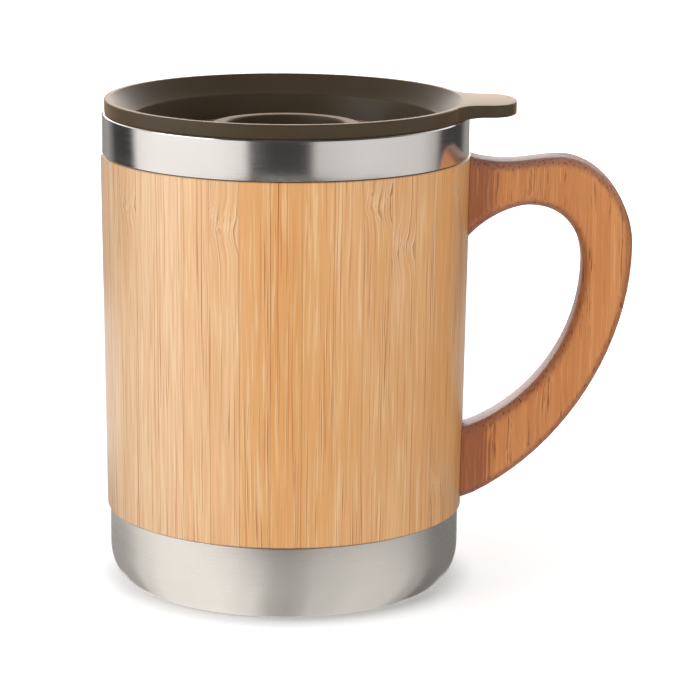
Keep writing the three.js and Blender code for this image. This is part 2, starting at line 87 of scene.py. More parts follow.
# %% [markdown]
# Helpers for turned pieces
#
# Most of this mug is turned, pressed or moulded round one axis. Such a piece could start from a cylinder
# with many loop cuts, but a profile that spins round the axis is closer to how the real one is made.
# Each corner of a profile is written as radius, height and rounding, and a vertex bevel rounds it while
# the profile is still a wire. Two more helpers turn a finished bmesh into an object, in metres, and seat
# it: it rides on its body and takes the place of the plain piece.

# %% Spin a profile
SPIN_STEPS = 192
ROUND_STEPS = 6
MERGE_DISTANCE = 1e-4


def round_corner(bm, vert, rounding, steps=ROUND_STEPS):
    bmesh.ops.bevel(bm, geom=[vert], offset=rounding, offset_type="OFFSET", affect="VERTICES",
                    segments=steps, profile=0.5, material=-1)


def close_up(bm):
    bmesh.ops.remove_doubles(bm, verts=bm.verts[:], dist=MERGE_DISTANCE)
    bmesh.ops.recalc_face_normals(bm, faces=bm.faces[:])
    return bm


def spin_profile(corners, closed=True, steps=SPIN_STEPS):
    bm = bmesh.new()
    verts = [bm.verts.new((radius, 0, height)) for radius, height, _ in corners]
    for start, end in zip(verts, verts[1:]):
        bm.edges.new((start, end))
    if closed:
        bm.edges.new((verts[-1], verts[0]))
    for vert, (_, _, rounding) in zip(verts, corners):
        if rounding:
            round_corner(bm, vert, rounding)
    bmesh.ops.spin(bm, geom=bm.verts[:] + bm.edges[:], cent=(0, 0, 0), axis=(0, 0, 1), angle=2 * pi,
                   steps=steps, use_merge=True)
    return close_up(bm)


# %% Make an object and seat it
SHARP_ANGLE = radians(40)


def mesh_object(name, bm):
    bmesh.ops.scale(bm, vec=(MM, MM, MM), verts=bm.verts[:])
    mesh = bpy.data.meshes.new(name)
    bm.to_mesh(mesh)
    bm.free()
    mesh.shade_smooth()
    mesh.set_sharp_from_angle(angle=SHARP_ANGLE)
    made = bpy.data.objects.new(name, mesh)
    bpy.context.scene.collection.objects.link(made)
    return made


def seat(made, node, body):
    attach(made, body)
    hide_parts(node)
    print(f"{made.name}: {len(made.data.polygons)} faces for {node} on {body}")
    return made


# %% [markdown]
# The steel vessel
#
# Three pressed steel pieces make the double wall. The inner cup holds the drink and widens near the top
# for the lid. The outer shell stands round it with an air gap, and above the sleeve it flares into the
# polished collar. The base cup is pushed on from below and carries the sleeve. Each is half a millimetre
# of sheet, so its profile runs up one side of the sheet and down the other.

# %% Spin the inner cup
AIR_GAP = 2.2
FLOOR_GAP = 2.5
MOUTH_GAP = 0.4
MOUTH_BEND = 1
LID_SEAT_DEPTH = 13
LEDGE_BEND = 1.5
CUP_CORNER = 8
cup_radius = shell_bore - AIR_GAP
cup_bore = cup_radius - STEEL_WALL
mouth_radius = shell_bore - MOUTH_GAP - STEEL_WALL
cup_foot = shell_foot + STEEL_WALL + FLOOR_GAP
rim_edge = radii("inner_cup")[1]
ledge = rim_top - LID_SEAT_DEPTH
ledge_foot = ledge - (mouth_radius - cup_bore)

inner_cup = spin_profile([
    (0, cup_foot, 0),
    (cup_radius, cup_foot, CUP_CORNER),
    (cup_radius, ledge_foot, LEDGE_BEND),
    (mouth_radius + STEEL_WALL, ledge, LEDGE_BEND),
    (mouth_radius + STEEL_WALL, rim_top - STEEL_WALL, MOUTH_BEND - STEEL_WALL),
    (rim_edge, rim_top - STEEL_WALL, 0),
    (rim_edge, rim_top, 0),
    (mouth_radius, rim_top, MOUTH_BEND),
    (mouth_radius, ledge, LEDGE_BEND),
    (cup_bore, ledge_foot, LEDGE_BEND),
    (cup_bore, cup_foot + STEEL_WALL, CUP_CORNER - STEEL_WALL),
    (0, cup_foot + STEEL_WALL, 0),
], closed=False)
inner_cup = seat(mesh_object("drinking_cup", inner_cup), "inner_cup", "cup")

# %% Spin the outer shell with its collar
COLLAR_EDGE = 0.12
LIP = 0.4  # rounding of the collar's upper edge
LIP_REACH = 0.6  # from the collar's outside to the weld with the inner cup
SEAT_GAP = 0.1
collar_foot = sleeve_top + SEAT_GAP

outer_shell = spin_profile([
    (shell_radius, shell_foot, 0),
    (shell_radius, collar_foot, 0),
    (collar_radius, collar_foot, COLLAR_EDGE),
    (collar_radius, rim_top, LIP),
    (collar_radius - LIP_REACH, rim_top, 0),
    (collar_radius - LIP_REACH, rim_top - STEEL_WALL, 0),
    (collar_radius - STEEL_WALL, rim_top - STEEL_WALL, 0),
    (collar_radius - STEEL_WALL, collar_foot + STEEL_WALL, 0),
    (shell_bore, collar_foot + STEEL_WALL, 0),
    (shell_bore, shell_foot, 0),
])
outer_shell = seat(mesh_object("steel_shell", outer_shell), "outer_shell", "cup")

# %% Spin the base cup
CORNER_WIDTH = 5.5  # the base's corner is a quarter of an ellipse
CORNER_HEIGHT = 8.5
CORNER_POINTS = 16
OVAL_PULL = 0.552  # control arms of this share make a curve an ellipse
BASE_EDGE = 0.3
WELD_GAP = 0.1
base_radius = radii("base_cup")[1]
base_top = heights("base_cup")[1]
base_opening = shell_radius + WELD_GAP


def base_corner(inset):
    foot = Vector((base_radius - CORNER_WIDTH, inset))
    wall = Vector((base_radius - inset, CORNER_HEIGHT))
    foot_arm = Vector((OVAL_PULL * (CORNER_WIDTH - inset), 0))
    wall_arm = Vector((0, OVAL_PULL * (CORNER_HEIGHT - inset)))
    curve = interpolate_bezier(foot, foot + foot_arm, wall - wall_arm, wall, CORNER_POINTS)
    return [(point.x, point.y, 0) for point in curve]


base_cup = spin_profile([
    (0, 0, 0),
    *base_corner(0),
    (base_radius, base_top, BASE_EDGE),
    (base_opening, base_top, 0),
    (base_opening, base_top - STEEL_WALL, 0),
    (base_radius - STEEL_WALL, base_top - STEEL_WALL, 0),
    *reversed(base_corner(STEEL_WALL)),
    (0, STEEL_WALL, 0),
], closed=False)
base_cup = seat(mesh_object("base_dish", base_cup), "base_cup", "cup")

# %% [markdown]
# The bamboo sleeve
#
# The sleeve is 38 strips of bamboo, called staves, glued edge to edge into a tube and turned true. One
# tube with lines painted on it would be quicker, but each strip comes from another piece of cane, so each
# is its own piece with its own tone. A strip is a small face in the shape of its cross-section from
# inside to outside, spun through its share of the circle.

# %% Shape of one stave
STAVES = 38
GLUE_LINE = 0.015
STAVE_STEPS = 8
LOWER_ROUND = 0.35
UPPER_ROUND = 0.1
UPPER_STEPS = 3
FOOT_BAND = 2  # corners below this height above the foot belong to the lower edge
stave_angle = 2 * pi / STAVES
sleeve_lower_radius = max(
    hypot(v.co.x, v.co.y) / MM
    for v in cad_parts[A_STAVE].data.vertices
    if v.co.z / MM < sleeve_foot + FOOT_BAND
)


def stave_mesh(turn):
    bm = bmesh.new()
    corners = [(sleeve_bore, sleeve_foot), (sleeve_lower_radius, sleeve_foot),
               (sleeve_radius, sleeve_top), (sleeve_bore, sleeve_top)]
    verts = [bm.verts.new((radius, 0, height)) for radius, height in corners]
    bm.faces.new(verts)
    round_corner(bm, verts[1], LOWER_ROUND)
    round_corner(bm, verts[2], UPPER_ROUND, UPPER_STEPS)
    glue_angle = GLUE_LINE / sleeve_radius
    start = Matrix.Rotation(turn + glue_angle / 2, 3, "Z")
    bmesh.ops.rotate(bm, verts=bm.verts[:], cent=(0, 0, 0), matrix=start)
    bmesh.ops.spin(bm, geom=bm.verts[:] + bm.edges[:] + bm.faces[:], cent=(0, 0, 0), axis=(0, 0, 1),
                   angle=stave_angle - glue_angle, steps=STAVE_STEPS)
    return close_up(bm)


# %% [markdown]
# What each stave tells its finish
#
# Four attributes go with every stave for the finish later: its number, its tone, which is below zero for
# pale cane and above it for ripe cane, the height of the knuckle that some strips cross, and the place
# across the strip, which runs from minus one to one. Attributes let one material serve all staves. The
# tones and knuckles of the front are listed, and the other tones are drawn with a fixed seed. On the
# left side the pale tones are partly a painted sheen of the key light.

# %% Make the staves
STAVE_TURN = 1.6  # degrees from +X to the first glue line
NO_KNUCKLE = -1000
KNUCKLES = {3: 41, 8: 66, 12: 30, 15: 88, 23: 91, 27: 90, 32: 95, 33: 84, 35: 27, 36: 93}
# strips 19 to 27 on the left side are pale partly as a painted sheen of the key light
TONES_AND_SHEEN = {1: 0.5, 4: 0.8, 10: 0.7, 11: 0.9, 14: -0.5, 17: 0.8, 19: -0.6, 20: -0.8, 21: -0.8, 22: -1.0,
         23: -0.7, 24: -0.8, 25: -0.9, 26: -0.4, 27: -0.3, 28: 0.6, 29: 1.0, 30: 0.8, 31: 0.6, 32: 0.5,
         33: 0.3, 34: 0.6, 35: 0.9, 36: 0.5, 37: 0.8, 38: 0.7}
OTHER_TONE = 0.3  # the most that the tone of any other strip may be
tones = random.Random(11)


def across_stave(vert, turn):
    middle = turn + stave_angle / 2
    angle = atan2(vert.co.y * cos(middle) - vert.co.x * sin(middle),
                  vert.co.x * cos(middle) + vert.co.y * sin(middle))
    return 2 * angle / stave_angle


staves = []
for number in range(1, STAVES + 1):
    turn = radians(STAVE_TURN) + (number - 1) * stave_angle
    stave = mesh_object(f"bamboo_stave_{number:02d}", stave_mesh(turn))
    tone = TONES_AND_SHEEN.get(number, tones.uniform(0, OTHER_TONE))
    facts = {
        "stave": [number] * len(stave.data.vertices),
        "tone": [tone] * len(stave.data.vertices),
        "knuckle": [KNUCKLES.get(number, NO_KNUCKLE)] * len(stave.data.vertices),
        "across": [across_stave(vert, turn) for vert in stave.data.vertices],
    }
    for name, values in facts.items():
        attribute = stave.data.attributes.new(name, "FLOAT", "POINT")
        attribute.data.foreach_set("value", values)
    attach(stave, "cup")
    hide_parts(f"sleeve_stave_{number:02d}")
    staves.append(stave)
print(len(staves), "staves, of which", len(KNUCKLES), "have a knuckle")

# %% [markdown]
# The bamboo handle
#
# The handle is sawn from a bamboo board, its edges are rounded over, and its two ends are cut to the
# curve of the sleeve. The outline is a chain of curves, drawn in the plane of the board: each row below
# is a knot, two control arms and the next knot, as the reach from the sleeve and the drop from its top.
# The face is extruded to the board's thickness, its edges are bevelled, and a plane cuts the two roots,
# whose vertices then slide onto the sleeve.

# %% Draw the handle's outline
BOARD = 11.5  # thickness
ROOT_SINK = 8
CURVE_POINTS = 22
OUTER_EDGE = [
    [(-0.9, 0.05), (9.1, 2.75), (13.5, 0.15), (20.6, 0.15)],
    [(20.6, 0.15), (29.2, 0.15), (37.4, 10.0), (37.4, 20.8)],
    [(37.4, 20.8), (37.4, 45.3), (21.6, 70.9), (-1.4, 81.1)],
]
FINGER_EDGE = [
    [(-1.4, 64.2), (13.3, 59.1), (25.9, 44.0), (25.9, 25.2)],
    [(25.9, 25.2), (25.9, 18.8), (22.7, 11.3), (13.6, 11.3)],
    [(13.6, 11.3), (9.7, 11.3), (3.0, 14.4), (-0.9, 19.4)],
]


def on_board(reach, drop):
    return Vector((sleeve_radius + reach, -BOARD / 2, sleeve_top - drop))


def edge_points(curves):
    first, last = curves[0][0], curves[-1][-1]
    points = [on_board(-ROOT_SINK, first[1])]
    for curve in curves:
        points += interpolate_bezier(*[on_board(*place) for place in curve], CURVE_POINTS)
    return points + [on_board(-ROOT_SINK, last[1])]


# %% Saw, round and fit the handle
EDGE_ROUND = 2.8
EDGE_STEPS = 7
BROAD_FACING = 0.999  # the broad faces look along Y at least this squarely
FACE_BORDER = 0.4  # a narrow ring that keeps the broad faces shaded flat
CUT_REACH = -0.6
ROOT_GAP = 0.08


def sleeve_radius_at(height):
    share = (height - sleeve_foot) / (sleeve_top - sleeve_foot)
    return sleeve_lower_radius + share * (sleeve_radius - sleeve_lower_radius)


def handle_mesh():
    bm = bmesh.new()
    outline = [bm.verts.new(p) for p in edge_points(OUTER_EDGE) + edge_points(FINGER_EDGE)]
    bmesh.ops.remove_doubles(bm, verts=outline, dist=MERGE_DISTANCE)
    front = bm.faces.new(bm.verts[:])
    raised = bmesh.ops.extrude_face_region(bm, geom=[front])["geom"]
    lifted = [v for v in raised if isinstance(v, bmesh.types.BMVert)]
    bmesh.ops.translate(bm, vec=(0, BOARD, 0), verts=lifted)
    close_up(bm)
    rims = [e for e in bm.edges if abs(e.verts[0].co.y - e.verts[1].co.y) < MERGE_DISTANCE]
    bmesh.ops.bevel(bm, geom=rims, offset=EDGE_ROUND, offset_type="OFFSET", affect="EDGES",
                    segments=EDGE_STEPS, profile=0.5, material=-1)
    broad = [f for f in bm.faces if abs(f.normal.y) > BROAD_FACING and len(f.verts) > 4]
    bmesh.ops.inset_region(bm, faces=broad, thickness=FACE_BORDER)
    cut = bmesh.ops.bisect_plane(bm, geom=bm.verts[:] + bm.edges[:] + bm.faces[:], dist=MERGE_DISTANCE,
                                 plane_co=(sleeve_radius + CUT_REACH, 0, 0), plane_no=(1, 0, 0),
                                 clear_inner=True)["geom_cut"]
    bmesh.ops.holes_fill(bm, edges=[e for e in cut if isinstance(e, bmesh.types.BMEdge)])
    for vert in cut:
        if isinstance(vert, bmesh.types.BMVert):
            face_radius = sleeve_radius_at(vert.co.z) + ROOT_GAP
            vert.co.x = sqrt(face_radius ** 2 - vert.co.y ** 2)
    return close_up(bm)


handle = seat(mesh_object("bamboo_handle", handle_mesh()), "handle", "cup")

# %% [markdown]
# The lid
#
# The lid is one plastic moulding: a flange that rests on the rim, a funnel that runs down to a deep
# well, a plug with a groove for the gasket, and a thumb tab over the handle. All but the tab is round, so
# the profile is spun first. The tab could be a second shape that is joined on, but then a seam shows.
# Here the spun flange is simply pulled out: the outer points that face the handle move to the tab's
# outline, and the flat top and bottom stretch with them.

# %% Draw the lid's profile
FLANGE_INSET = 0.5
FLANGE_THICKNESS = 3.15
FLANGE_EDGE = 0.3
FLANGE_FOOT_EDGE = 0.15
FLANGE_ROOT = 0.3
CREST_WIDTH = 1.3  # from the flange's outer wall to the start of the funnel
FUNNEL_DEPTH = 4.2
FUNNEL_POINTS = 12
CREST_ARM = Vector((-1.5, -1.3))  # control arms of the funnel's curve
THROAT_ARM = Vector((1.8, 0.9))
THROAT_EDGE = 0.3
WELL_DEPTH = 11.2
WELL_DRAFT = 0.8
WELL_CORNER = 0.8
LID_WALL = 1.4
PLUG_CLEARANCE = 1
PLUG_ROUND = 0.6
GROOVE_RISE = 2.2
GROOVE_HEIGHT = 3.6
GROOVE_DEPTH = 0.9
GROOVE_EDGE = 0.15
STEM_BORE = 4.2
plug_foot, lid_top = heights("lid_body")
flange_foot = lid_top - FLANGE_THICKNESS
flange_radius = collar_radius - FLANGE_INSET
crest = Vector((flange_radius - CREST_WIDTH, lid_top))
plug_radius = mouth_radius - PLUG_CLEARANCE
throat = Vector((plug_radius - LID_WALL, lid_top - FUNNEL_DEPTH))
well_radius = throat.x - WELL_DRAFT
well_floor = lid_top - WELL_DEPTH
groove_radius = plug_radius - GROOVE_DEPTH
groove_foot = plug_foot + GROOVE_RISE
groove_top = groove_foot + GROOVE_HEIGHT

funnel = interpolate_bezier(crest, crest + CREST_ARM, throat + THROAT_ARM, throat, FUNNEL_POINTS)
lid_profile = [
    (STEM_BORE, plug_foot, 0),
    (plug_radius, plug_foot, PLUG_ROUND),
    (plug_radius, groove_foot, GROOVE_EDGE),
    (groove_radius, groove_foot, 0),
    (groove_radius, groove_top, 0),
    (plug_radius, groove_top, GROOVE_EDGE),
    (plug_radius, flange_foot, FLANGE_ROOT),
    (flange_radius, flange_foot, FLANGE_FOOT_EDGE),
    (flange_radius, lid_top, FLANGE_EDGE),
    *[(point.x, point.y, 0) for point in funnel[:-1]],
    (throat.x, throat.y, THROAT_EDGE),
    (well_radius, well_floor, WELL_CORNER),
    (STEM_BORE, well_floor, 0),
]
print(f"The lid's flange is {2 * flange_radius:.1f} mm across and its well {WELL_DEPTH} mm deep")

# %% Spin the lid and pull out its tab
LID_STEPS = 480
TAB_STEPS = 14  # spin steps along each of the four curves of the tab
TAB_REACH = 11.2
TAB_NECK = (4.6, 10.1)  # reach and half width where the tab is straight
TAB_ARM = 4  # control arms at the tab's root and neck
TIP_ARM = 6.4
TAB_THINNING = 0.35  # the tab is thinner than the flange by this much
TAB_BLEND = 4
CREST_MARGIN = 0.01  # points this close to the crest stay where they are


def tab_outline():
    root_angle = 2 * TAB_STEPS * 2 * pi / LID_STEPS
    root = Vector((flange_radius * cos(root_angle), flange_radius * sin(root_angle), 0))
    along_rim = Vector((sin(root_angle), -cos(root_angle), 0))
    neck = Vector((flange_radius + TAB_NECK[0], TAB_NECK[1], 0))
    tip = Vector((flange_radius + TAB_REACH, 0, 0))
    outwards = Vector((TAB_ARM, 0, 0))
    sideways = Vector((0, TIP_ARM, 0))
    side = interpolate_bezier(root, root + TAB_ARM * along_rim, neck - outwards, neck, TAB_STEPS + 1)
    end = interpolate_bezier(neck, neck + outwards, tip + sideways, tip, TAB_STEPS + 1)
    half = side[:-1] + end
    return [Vector((p.x, -p.y, 0)) for p in half[:-1]] + half[::-1]


def pull_tab(bm):
    outline = tab_outline()
    for vert in bm.verts:
        radius = hypot(vert.co.x, vert.co.y)
        place = round(atan2(vert.co.y, vert.co.x) * LID_STEPS / (2 * pi)) + 2 * TAB_STEPS
        if radius < crest.x + CREST_MARGIN or not 0 < place < 4 * TAB_STEPS:
            continue
        along = outline[place + 1] - outline[place - 1]
        inwards = Vector((-along.y, along.x, 0)).normalized()
        spot = outline[place] + (flange_radius - radius) * inwards
        vert.co.x, vert.co.y = spot.x, spot.y
        beyond = min(1, max(0, hypot(spot.x, spot.y) - flange_radius) / TAB_BLEND)
        if vert.co.z < lid_top - FLANGE_THICKNESS / 2:
            vert.co.z += TAB_THINNING * beyond
    return bm


lid_mesh = pull_tab(spin_profile(lid_profile, steps=LID_STEPS))
print(f"The lid's tab reaches {max(v.co.x for v in lid_mesh.verts):.1f} mm from the axis")

# %% [markdown]
# Holes in the lid and the closure
#
# The lid's floor has a sip hole, a vent and a stop lug, and the closure that turns on it has a window, a
# vent and a notch for the lug. Insets could make such holes in a flat face, but a boolean with a simple
# cutter follows the way a mould core makes them. A curved slot is cut by a short spun bar and a rod at
# each of its ends. A boolean leaves slivers where two edges almost meet, so they are merged at the end.

# %% Shapes that cut
BAR_STEPS = 16
ROD_SIDES = 32


def spun_bar(inner, outer, low, high, start, end):
    bm = bmesh.new()
    corners = [(inner, low), (outer, low), (outer, high), (inner, high)]
    bm.faces.new([bm.verts.new((radius, 0, height)) for radius, height in corners])
    turn = Matrix.Rotation(radians(start), 3, "Z")
    bmesh.ops.rotate(bm, verts=bm.verts[:], cent=(0, 0, 0), matrix=turn)
    bmesh.ops.spin(bm, geom=bm.verts[:] + bm.edges[:] + bm.faces[:], cent=(0, 0, 0), axis=(0, 0, 1),
                   angle=radians(end - start), steps=BAR_STEPS)
    return close_up(bm)


def rod(radius, low, high, reach, angle):
    bm = bmesh.new()
    place = Matrix.Rotation(radians(angle), 4, "Z") @ Matrix.Translation((reach, 0, (low + high) / 2))
    bmesh.ops.create_cone(bm, cap_ends=True, segments=ROD_SIDES, radius1=radius, radius2=radius,
                          depth=high - low, matrix=place)
    return close_up(bm)


def arc_slot(reach, width, low, high, middle, span):
    start, end = middle - span / 2, middle + span / 2
    return [spun_bar(reach - width / 2, reach + width / 2, low, high, start, end),
            rod(width / 2, low, high, reach, start),
            rod(width / 2, low, high, reach, end)]


# %% Cut and join with booleans
CUT_MARGIN = 1.5
SLIVER = 0.003  # edges as short as this are left over from a cut


def combine(made, tools, operation):
    for number, bm in enumerate(tools):
        tool = mesh_object(f"tool_{number}", bm)
        change = made.modifiers.new("change", "BOOLEAN")
        change.operation = operation
        change.solver = "EXACT"
        change.object = tool
        bpy.context.view_layer.objects.active = made
        bpy.ops.object.modifier_apply(modifier="change")
        bpy.data.meshes.remove(tool.data)
    bm = bmesh.new()
    bm.from_mesh(made.data)
    bmesh.ops.remove_doubles(bm, verts=bm.verts[:], dist=SLIVER * MM)
    bmesh.ops.dissolve_degenerate(bm, edges=bm.edges[:], dist=SLIVER * MM)
    bm.to_mesh(made.data)
    bm.free()
    return made


# %% Cut the lid's holes and add its stop lug
PLATE_CLEARANCE = 1.2
PLATE_THICKNESS = 1.6
TURN_GAP = 0.2
NOTCH_DEPTH = 1.6
LUG_ROOM = 0.4
LUG_ROOT = 0.5
LUG_ANGLE = 45
LUG_SPAN = 8
SIP_WIDTH = 6
SIP_MARGIN = 1.1
SIP_SPAN = 26
SIP_ANGLE = -90
VENT_RADIUS = 1.5
plate_radius = well_radius - PLATE_CLEARANCE
plate_foot = well_floor + TURN_GAP
plate_top = plate_foot + PLATE_THICKNESS
sip_reach = plate_radius - NOTCH_DEPTH - SIP_MARGIN - SIP_WIDTH / 2

lid = mesh_object("lid_moulding", lid_mesh)
through = (plug_foot - CUT_MARGIN, well_floor + CUT_MARGIN)
combine(lid, arc_slot(sip_reach, SIP_WIDTH, *through, SIP_ANGLE, SIP_SPAN), "DIFFERENCE")
combine(lid, [rod(VENT_RADIUS, *through, sip_reach, SIP_ANGLE + 180)], "DIFFERENCE")
lug_inner = plate_radius - NOTCH_DEPTH + LUG_ROOM
lug = spun_bar(lug_inner, throat.x, well_floor - LUG_ROOT, plate_top,
               LUG_ANGLE - LUG_SPAN / 2, LUG_ANGLE + LUG_SPAN / 2)
combine(lid, [lug], "UNION")
lid.data.set_sharp_from_angle(angle=SHARP_ANGLE)
seat(lid, "lid_body", "lid")

# %% [markdown]
# The twist closure and the gasket
#
# The closure is a plate with a raised ring to grip, on a stem that snaps through the lid's floor. It is
# spun like the rest and then cut: the window and vent, the notch for the stop lug, and two crossed slots
# that make the snap springy. The gasket is a ring of silicone with two lips.

# %% Spin the closure
KNOB_RADIUS = 17.4
KNOB_WIDTH = 3.4
KNOB_HEIGHT = 3.35
KNOB_EDGE = 0.6
KNOB_ROOT = 0.5
PLATE_EDGE = 0.4
PLATE_FOOT_EDGE = 0.25
STEM_RADIUS = 4
SNAP_RADIUS = 4.9
SNAP_HEIGHT = 1.4
SNAP_EDGE = 0.2
SNAP_SHOULDER = 0.15
knob_top = plate_top + KNOB_HEIGHT
knob_bore = KNOB_RADIUS - KNOB_WIDTH
snap_top = plug_foot - TURN_GAP
snap_foot = snap_top - SNAP_HEIGHT

closure = mesh_object("twist_closure", spin_profile([
    (0, snap_foot, 0),
    (STEM_RADIUS, snap_foot, SNAP_EDGE),
    (SNAP_RADIUS, snap_top - SNAP_HEIGHT / 2, SNAP_EDGE),
    (SNAP_RADIUS, snap_top, SNAP_SHOULDER),
    (STEM_RADIUS, snap_top, 0),
    (STEM_RADIUS, plate_foot, 0),
    (plate_radius, plate_foot, PLATE_FOOT_EDGE),
    (plate_radius, plate_top, PLATE_EDGE),
    (KNOB_RADIUS, plate_top, KNOB_ROOT),
    (KNOB_RADIUS, knob_top, KNOB_EDGE),
    (knob_bore, knob_top, KNOB_EDGE),
    (knob_bore, plate_top, KNOB_ROOT),
    (0, plate_top, 0),
], closed=False))
print(f"The closure's ring stands {lid_top - knob_top:.1f} mm below the lid's top")

# %% Cut the closure
SNAP_SLOT = 1.2
SLOT_ROOM = 0.6
CLOSURE_TRAVEL = 90
NOTCH_ROOM = 1
shut_angle = SIP_ANGLE - CLOSURE_TRAVEL
through = (plate_foot - TURN_GAP, plate_top + CUT_MARGIN)
combine(closure, arc_slot(sip_reach, SIP_WIDTH, *through, shut_angle, SIP_SPAN), "DIFFERENCE")
notch_start = LUG_ANGLE - LUG_SPAN / 2 - NOTCH_ROOM - CLOSURE_TRAVEL
notch_end = LUG_ANGLE + LUG_SPAN / 2 + NOTCH_ROOM
notch = spun_bar(plate_radius - NOTCH_DEPTH, plate_radius + CUT_MARGIN, *through, notch_start, notch_end)
combine(closure, [rod(VENT_RADIUS, *through, sip_reach, shut_angle + 180), notch], "DIFFERENCE")
slots = []
for turn in (0, 90):
    slot = bmesh.new()
    low, high = snap_foot - CUT_MARGIN, plug_foot + SLOT_ROOM
    place = Matrix.Rotation(radians(turn), 4, "Z") @ Matrix.Translation((0, 0, (low + high) / 2))
    size = Matrix.Diagonal((2 * SNAP_RADIUS + CUT_MARGIN, SNAP_SLOT, high - low, 1))
    bmesh.ops.create_cube(slot, size=1, matrix=place @ size)
    slots.append(slot)
combine(closure, slots, "DIFFERENCE")
closure.data.set_sharp_from_angle(angle=SHARP_ANGLE)
seat(closure, "closure_disc", "closure")

# %% Spin the gasket
GASKET_FIT = 0.15
GASKET_CLEARANCE = 0.3
GASKET_EDGE = 0.2
LIP_HEIGHT = 0.9
LIP_ROOT = 0.15
gasket_inner = groove_radius + GASKET_FIT
lip_radius = mouth_radius - GASKET_CLEARANCE
gasket_foot = groove_foot + GASKET_FIT
gasket_top = groove_top - GASKET_FIT

gasket = spin_profile([
    (gasket_inner, gasket_foot, GASKET_EDGE),
    (plug_radius, gasket_foot, 0),
    (lip_radius, gasket_foot + LIP_HEIGHT / 2, GASKET_EDGE),
    (plug_radius, gasket_foot + LIP_HEIGHT, LIP_ROOT),
    (plug_radius, gasket_top - LIP_HEIGHT, LIP_ROOT),
    (lip_radius, gasket_top - LIP_HEIGHT / 2, GASKET_EDGE),
    (plug_radius, gasket_top, 0),
    (gasket_inner, gasket_top, GASKET_EDGE),
])
gasket = seat(mesh_object("silicone_gasket", gasket), "lid_gasket", "lid_seal")

# %% [markdown]
# Tools for the finishes
#
# A finish starts from what the real material is and how its surface was made. Colours are written as the
# sRGB hex values that a picture program shows, and one function turns them to the linear values that
# shaders use. One function adds a node with its settings and links and gives back its output. The others
# start a finish, feed its shader, put it on pieces and lay tints on a colour, one after the other, each
# through its own mask.

# %% Colour, node and scale helpers
FACTOR, FIRST, SECOND, MIXED = 0, 6, 7, 2  # sockets of the Mix node when it mixes colours


def linear(hex_colour):
    channels = [int(hex_colour[i:i + 2], 16) / 255 for i in (1, 3, 5)]
    return [c / 12.92 if c <= 0.04045 else ((c + 0.055) / 1.055) ** 2.4 for c in channels] + [1]


def add(tree, kind, inputs=None, output=0, **settings):
    node = tree.nodes.new("ShaderNode" + kind)
    for name, value in settings.items():
        setattr(node, name, value)
    for name, value in (inputs or {}).items():
        if isinstance(value, bpy.types.NodeSocket):
            tree.links.new(value, node.inputs[name])
        else:
            node.inputs[name].default_value = value
    return node.outputs[output]


def size_in_mm(*sizes):
    return [1 / (size * MM) for size in sizes]


# %% Finish helpers
def new_finish(name, **constants):
    finish = bpy.data.materials.new(name)
    finish.use_nodes = True
    shader = finish.node_tree.nodes["Principled BSDF"]
    for socket, value in constants.items():
        shader.inputs[socket.replace("_", " ")].default_value = value
    return finish, finish.node_tree, shader


def feed(shader, **sockets):
    for name, value in sockets.items():
        shader.id_data.links.new(value, shader.inputs[name.replace("_", " ")])


def lay_tints(tree, colour, tints):
    for hex_colour, mask, strength in tints:
        amount = add(tree, "Math", {0: mask, 1: strength}, operation="MULTIPLY")
        colour = add(tree, "Mix", {FACTOR: amount, FIRST: colour, SECOND: linear(hex_colour)}, MIXED,
                     data_type="RGBA")
    return colour


def cover(finish, *objects):
    for made in objects:
        made.data.materials.clear()
        made.data.materials.append(finish)
    print(finish.name, "on", len(objects), "pieces")


# %% [markdown]
# Lacquered bamboo strip
#
# The sleeve is sanded bamboo under a satin lacquer. To the eye it is straw-coloured, with fine upright
# lines and a soft sheen along its sides. The lacquer is a coat of its own on the shader. The fibres run
# straight up, so each pattern is a noise that is squeezed to a fraction of a millimetre round the sleeve
# and stretched to centimetres along it. The point is first pushed out to one circle, so the fibres
# follow the sleeve's taper, and the strip's number is the noise's fourth dimension, so the fibres break
# off at each glue line.

# %% Start the strip's finish
strip_finish, strip, strip_shader = new_finish("lacquered_bamboo_strip", Roughness=0.5, IOR=1.48,
                                               Coat_Weight=1.0, Coat_Roughness=0.3)
spot = add(strip, "TexCoord", output="Object")
flat = add(strip, "VectorMath", {0: spot, 1: (1, 1, 0)}, operation="MULTIPLY")
ray = add(strip, "VectorMath", {0: flat}, operation="NORMALIZE")
ring = add(strip, "VectorMath", {0: ray, "Scale": sleeve_radius * MM}, operation="SCALE")
tall = add(strip, "VectorMath", {0: spot, 1: (0, 0, 1)}, operation="MULTIPLY")
upright = add(strip, "VectorMath", {0: ring, 1: tall}, operation="ADD")
stave_number, stave_tone, knuckle, across = [
    add(strip, "Attribute", output="Fac", attribute_name=name)
    for name in ("stave", "tone", "knuckle", "across")
]


def strip_noise(vector, wide, long, shift, detail=2):
    sized = add(strip, "Mapping", {"Vector": vector, "Location": (0, 0, shift),
                                   "Scale": size_in_mm(wide, wide, long)})
    return add(strip, "TexNoise", {"Vector": sized, "W": stave_number, "Scale": 1, "Detail": detail},
               noise_dimensions="4D")


# %% [markdown]
# Fibres round a knuckle
#
# Cane has a knuckle every few hand widths, where the fibres bend aside and a fan of short slanting dashes
# shows that the bundles cross. The knuckle could be painted, but its height and the place across the
# strip are enough to work it out. A bend is a small turn of the pattern round the mug's axis, and it
# fades with the distance from the knuckle. All fibres also wander a little.

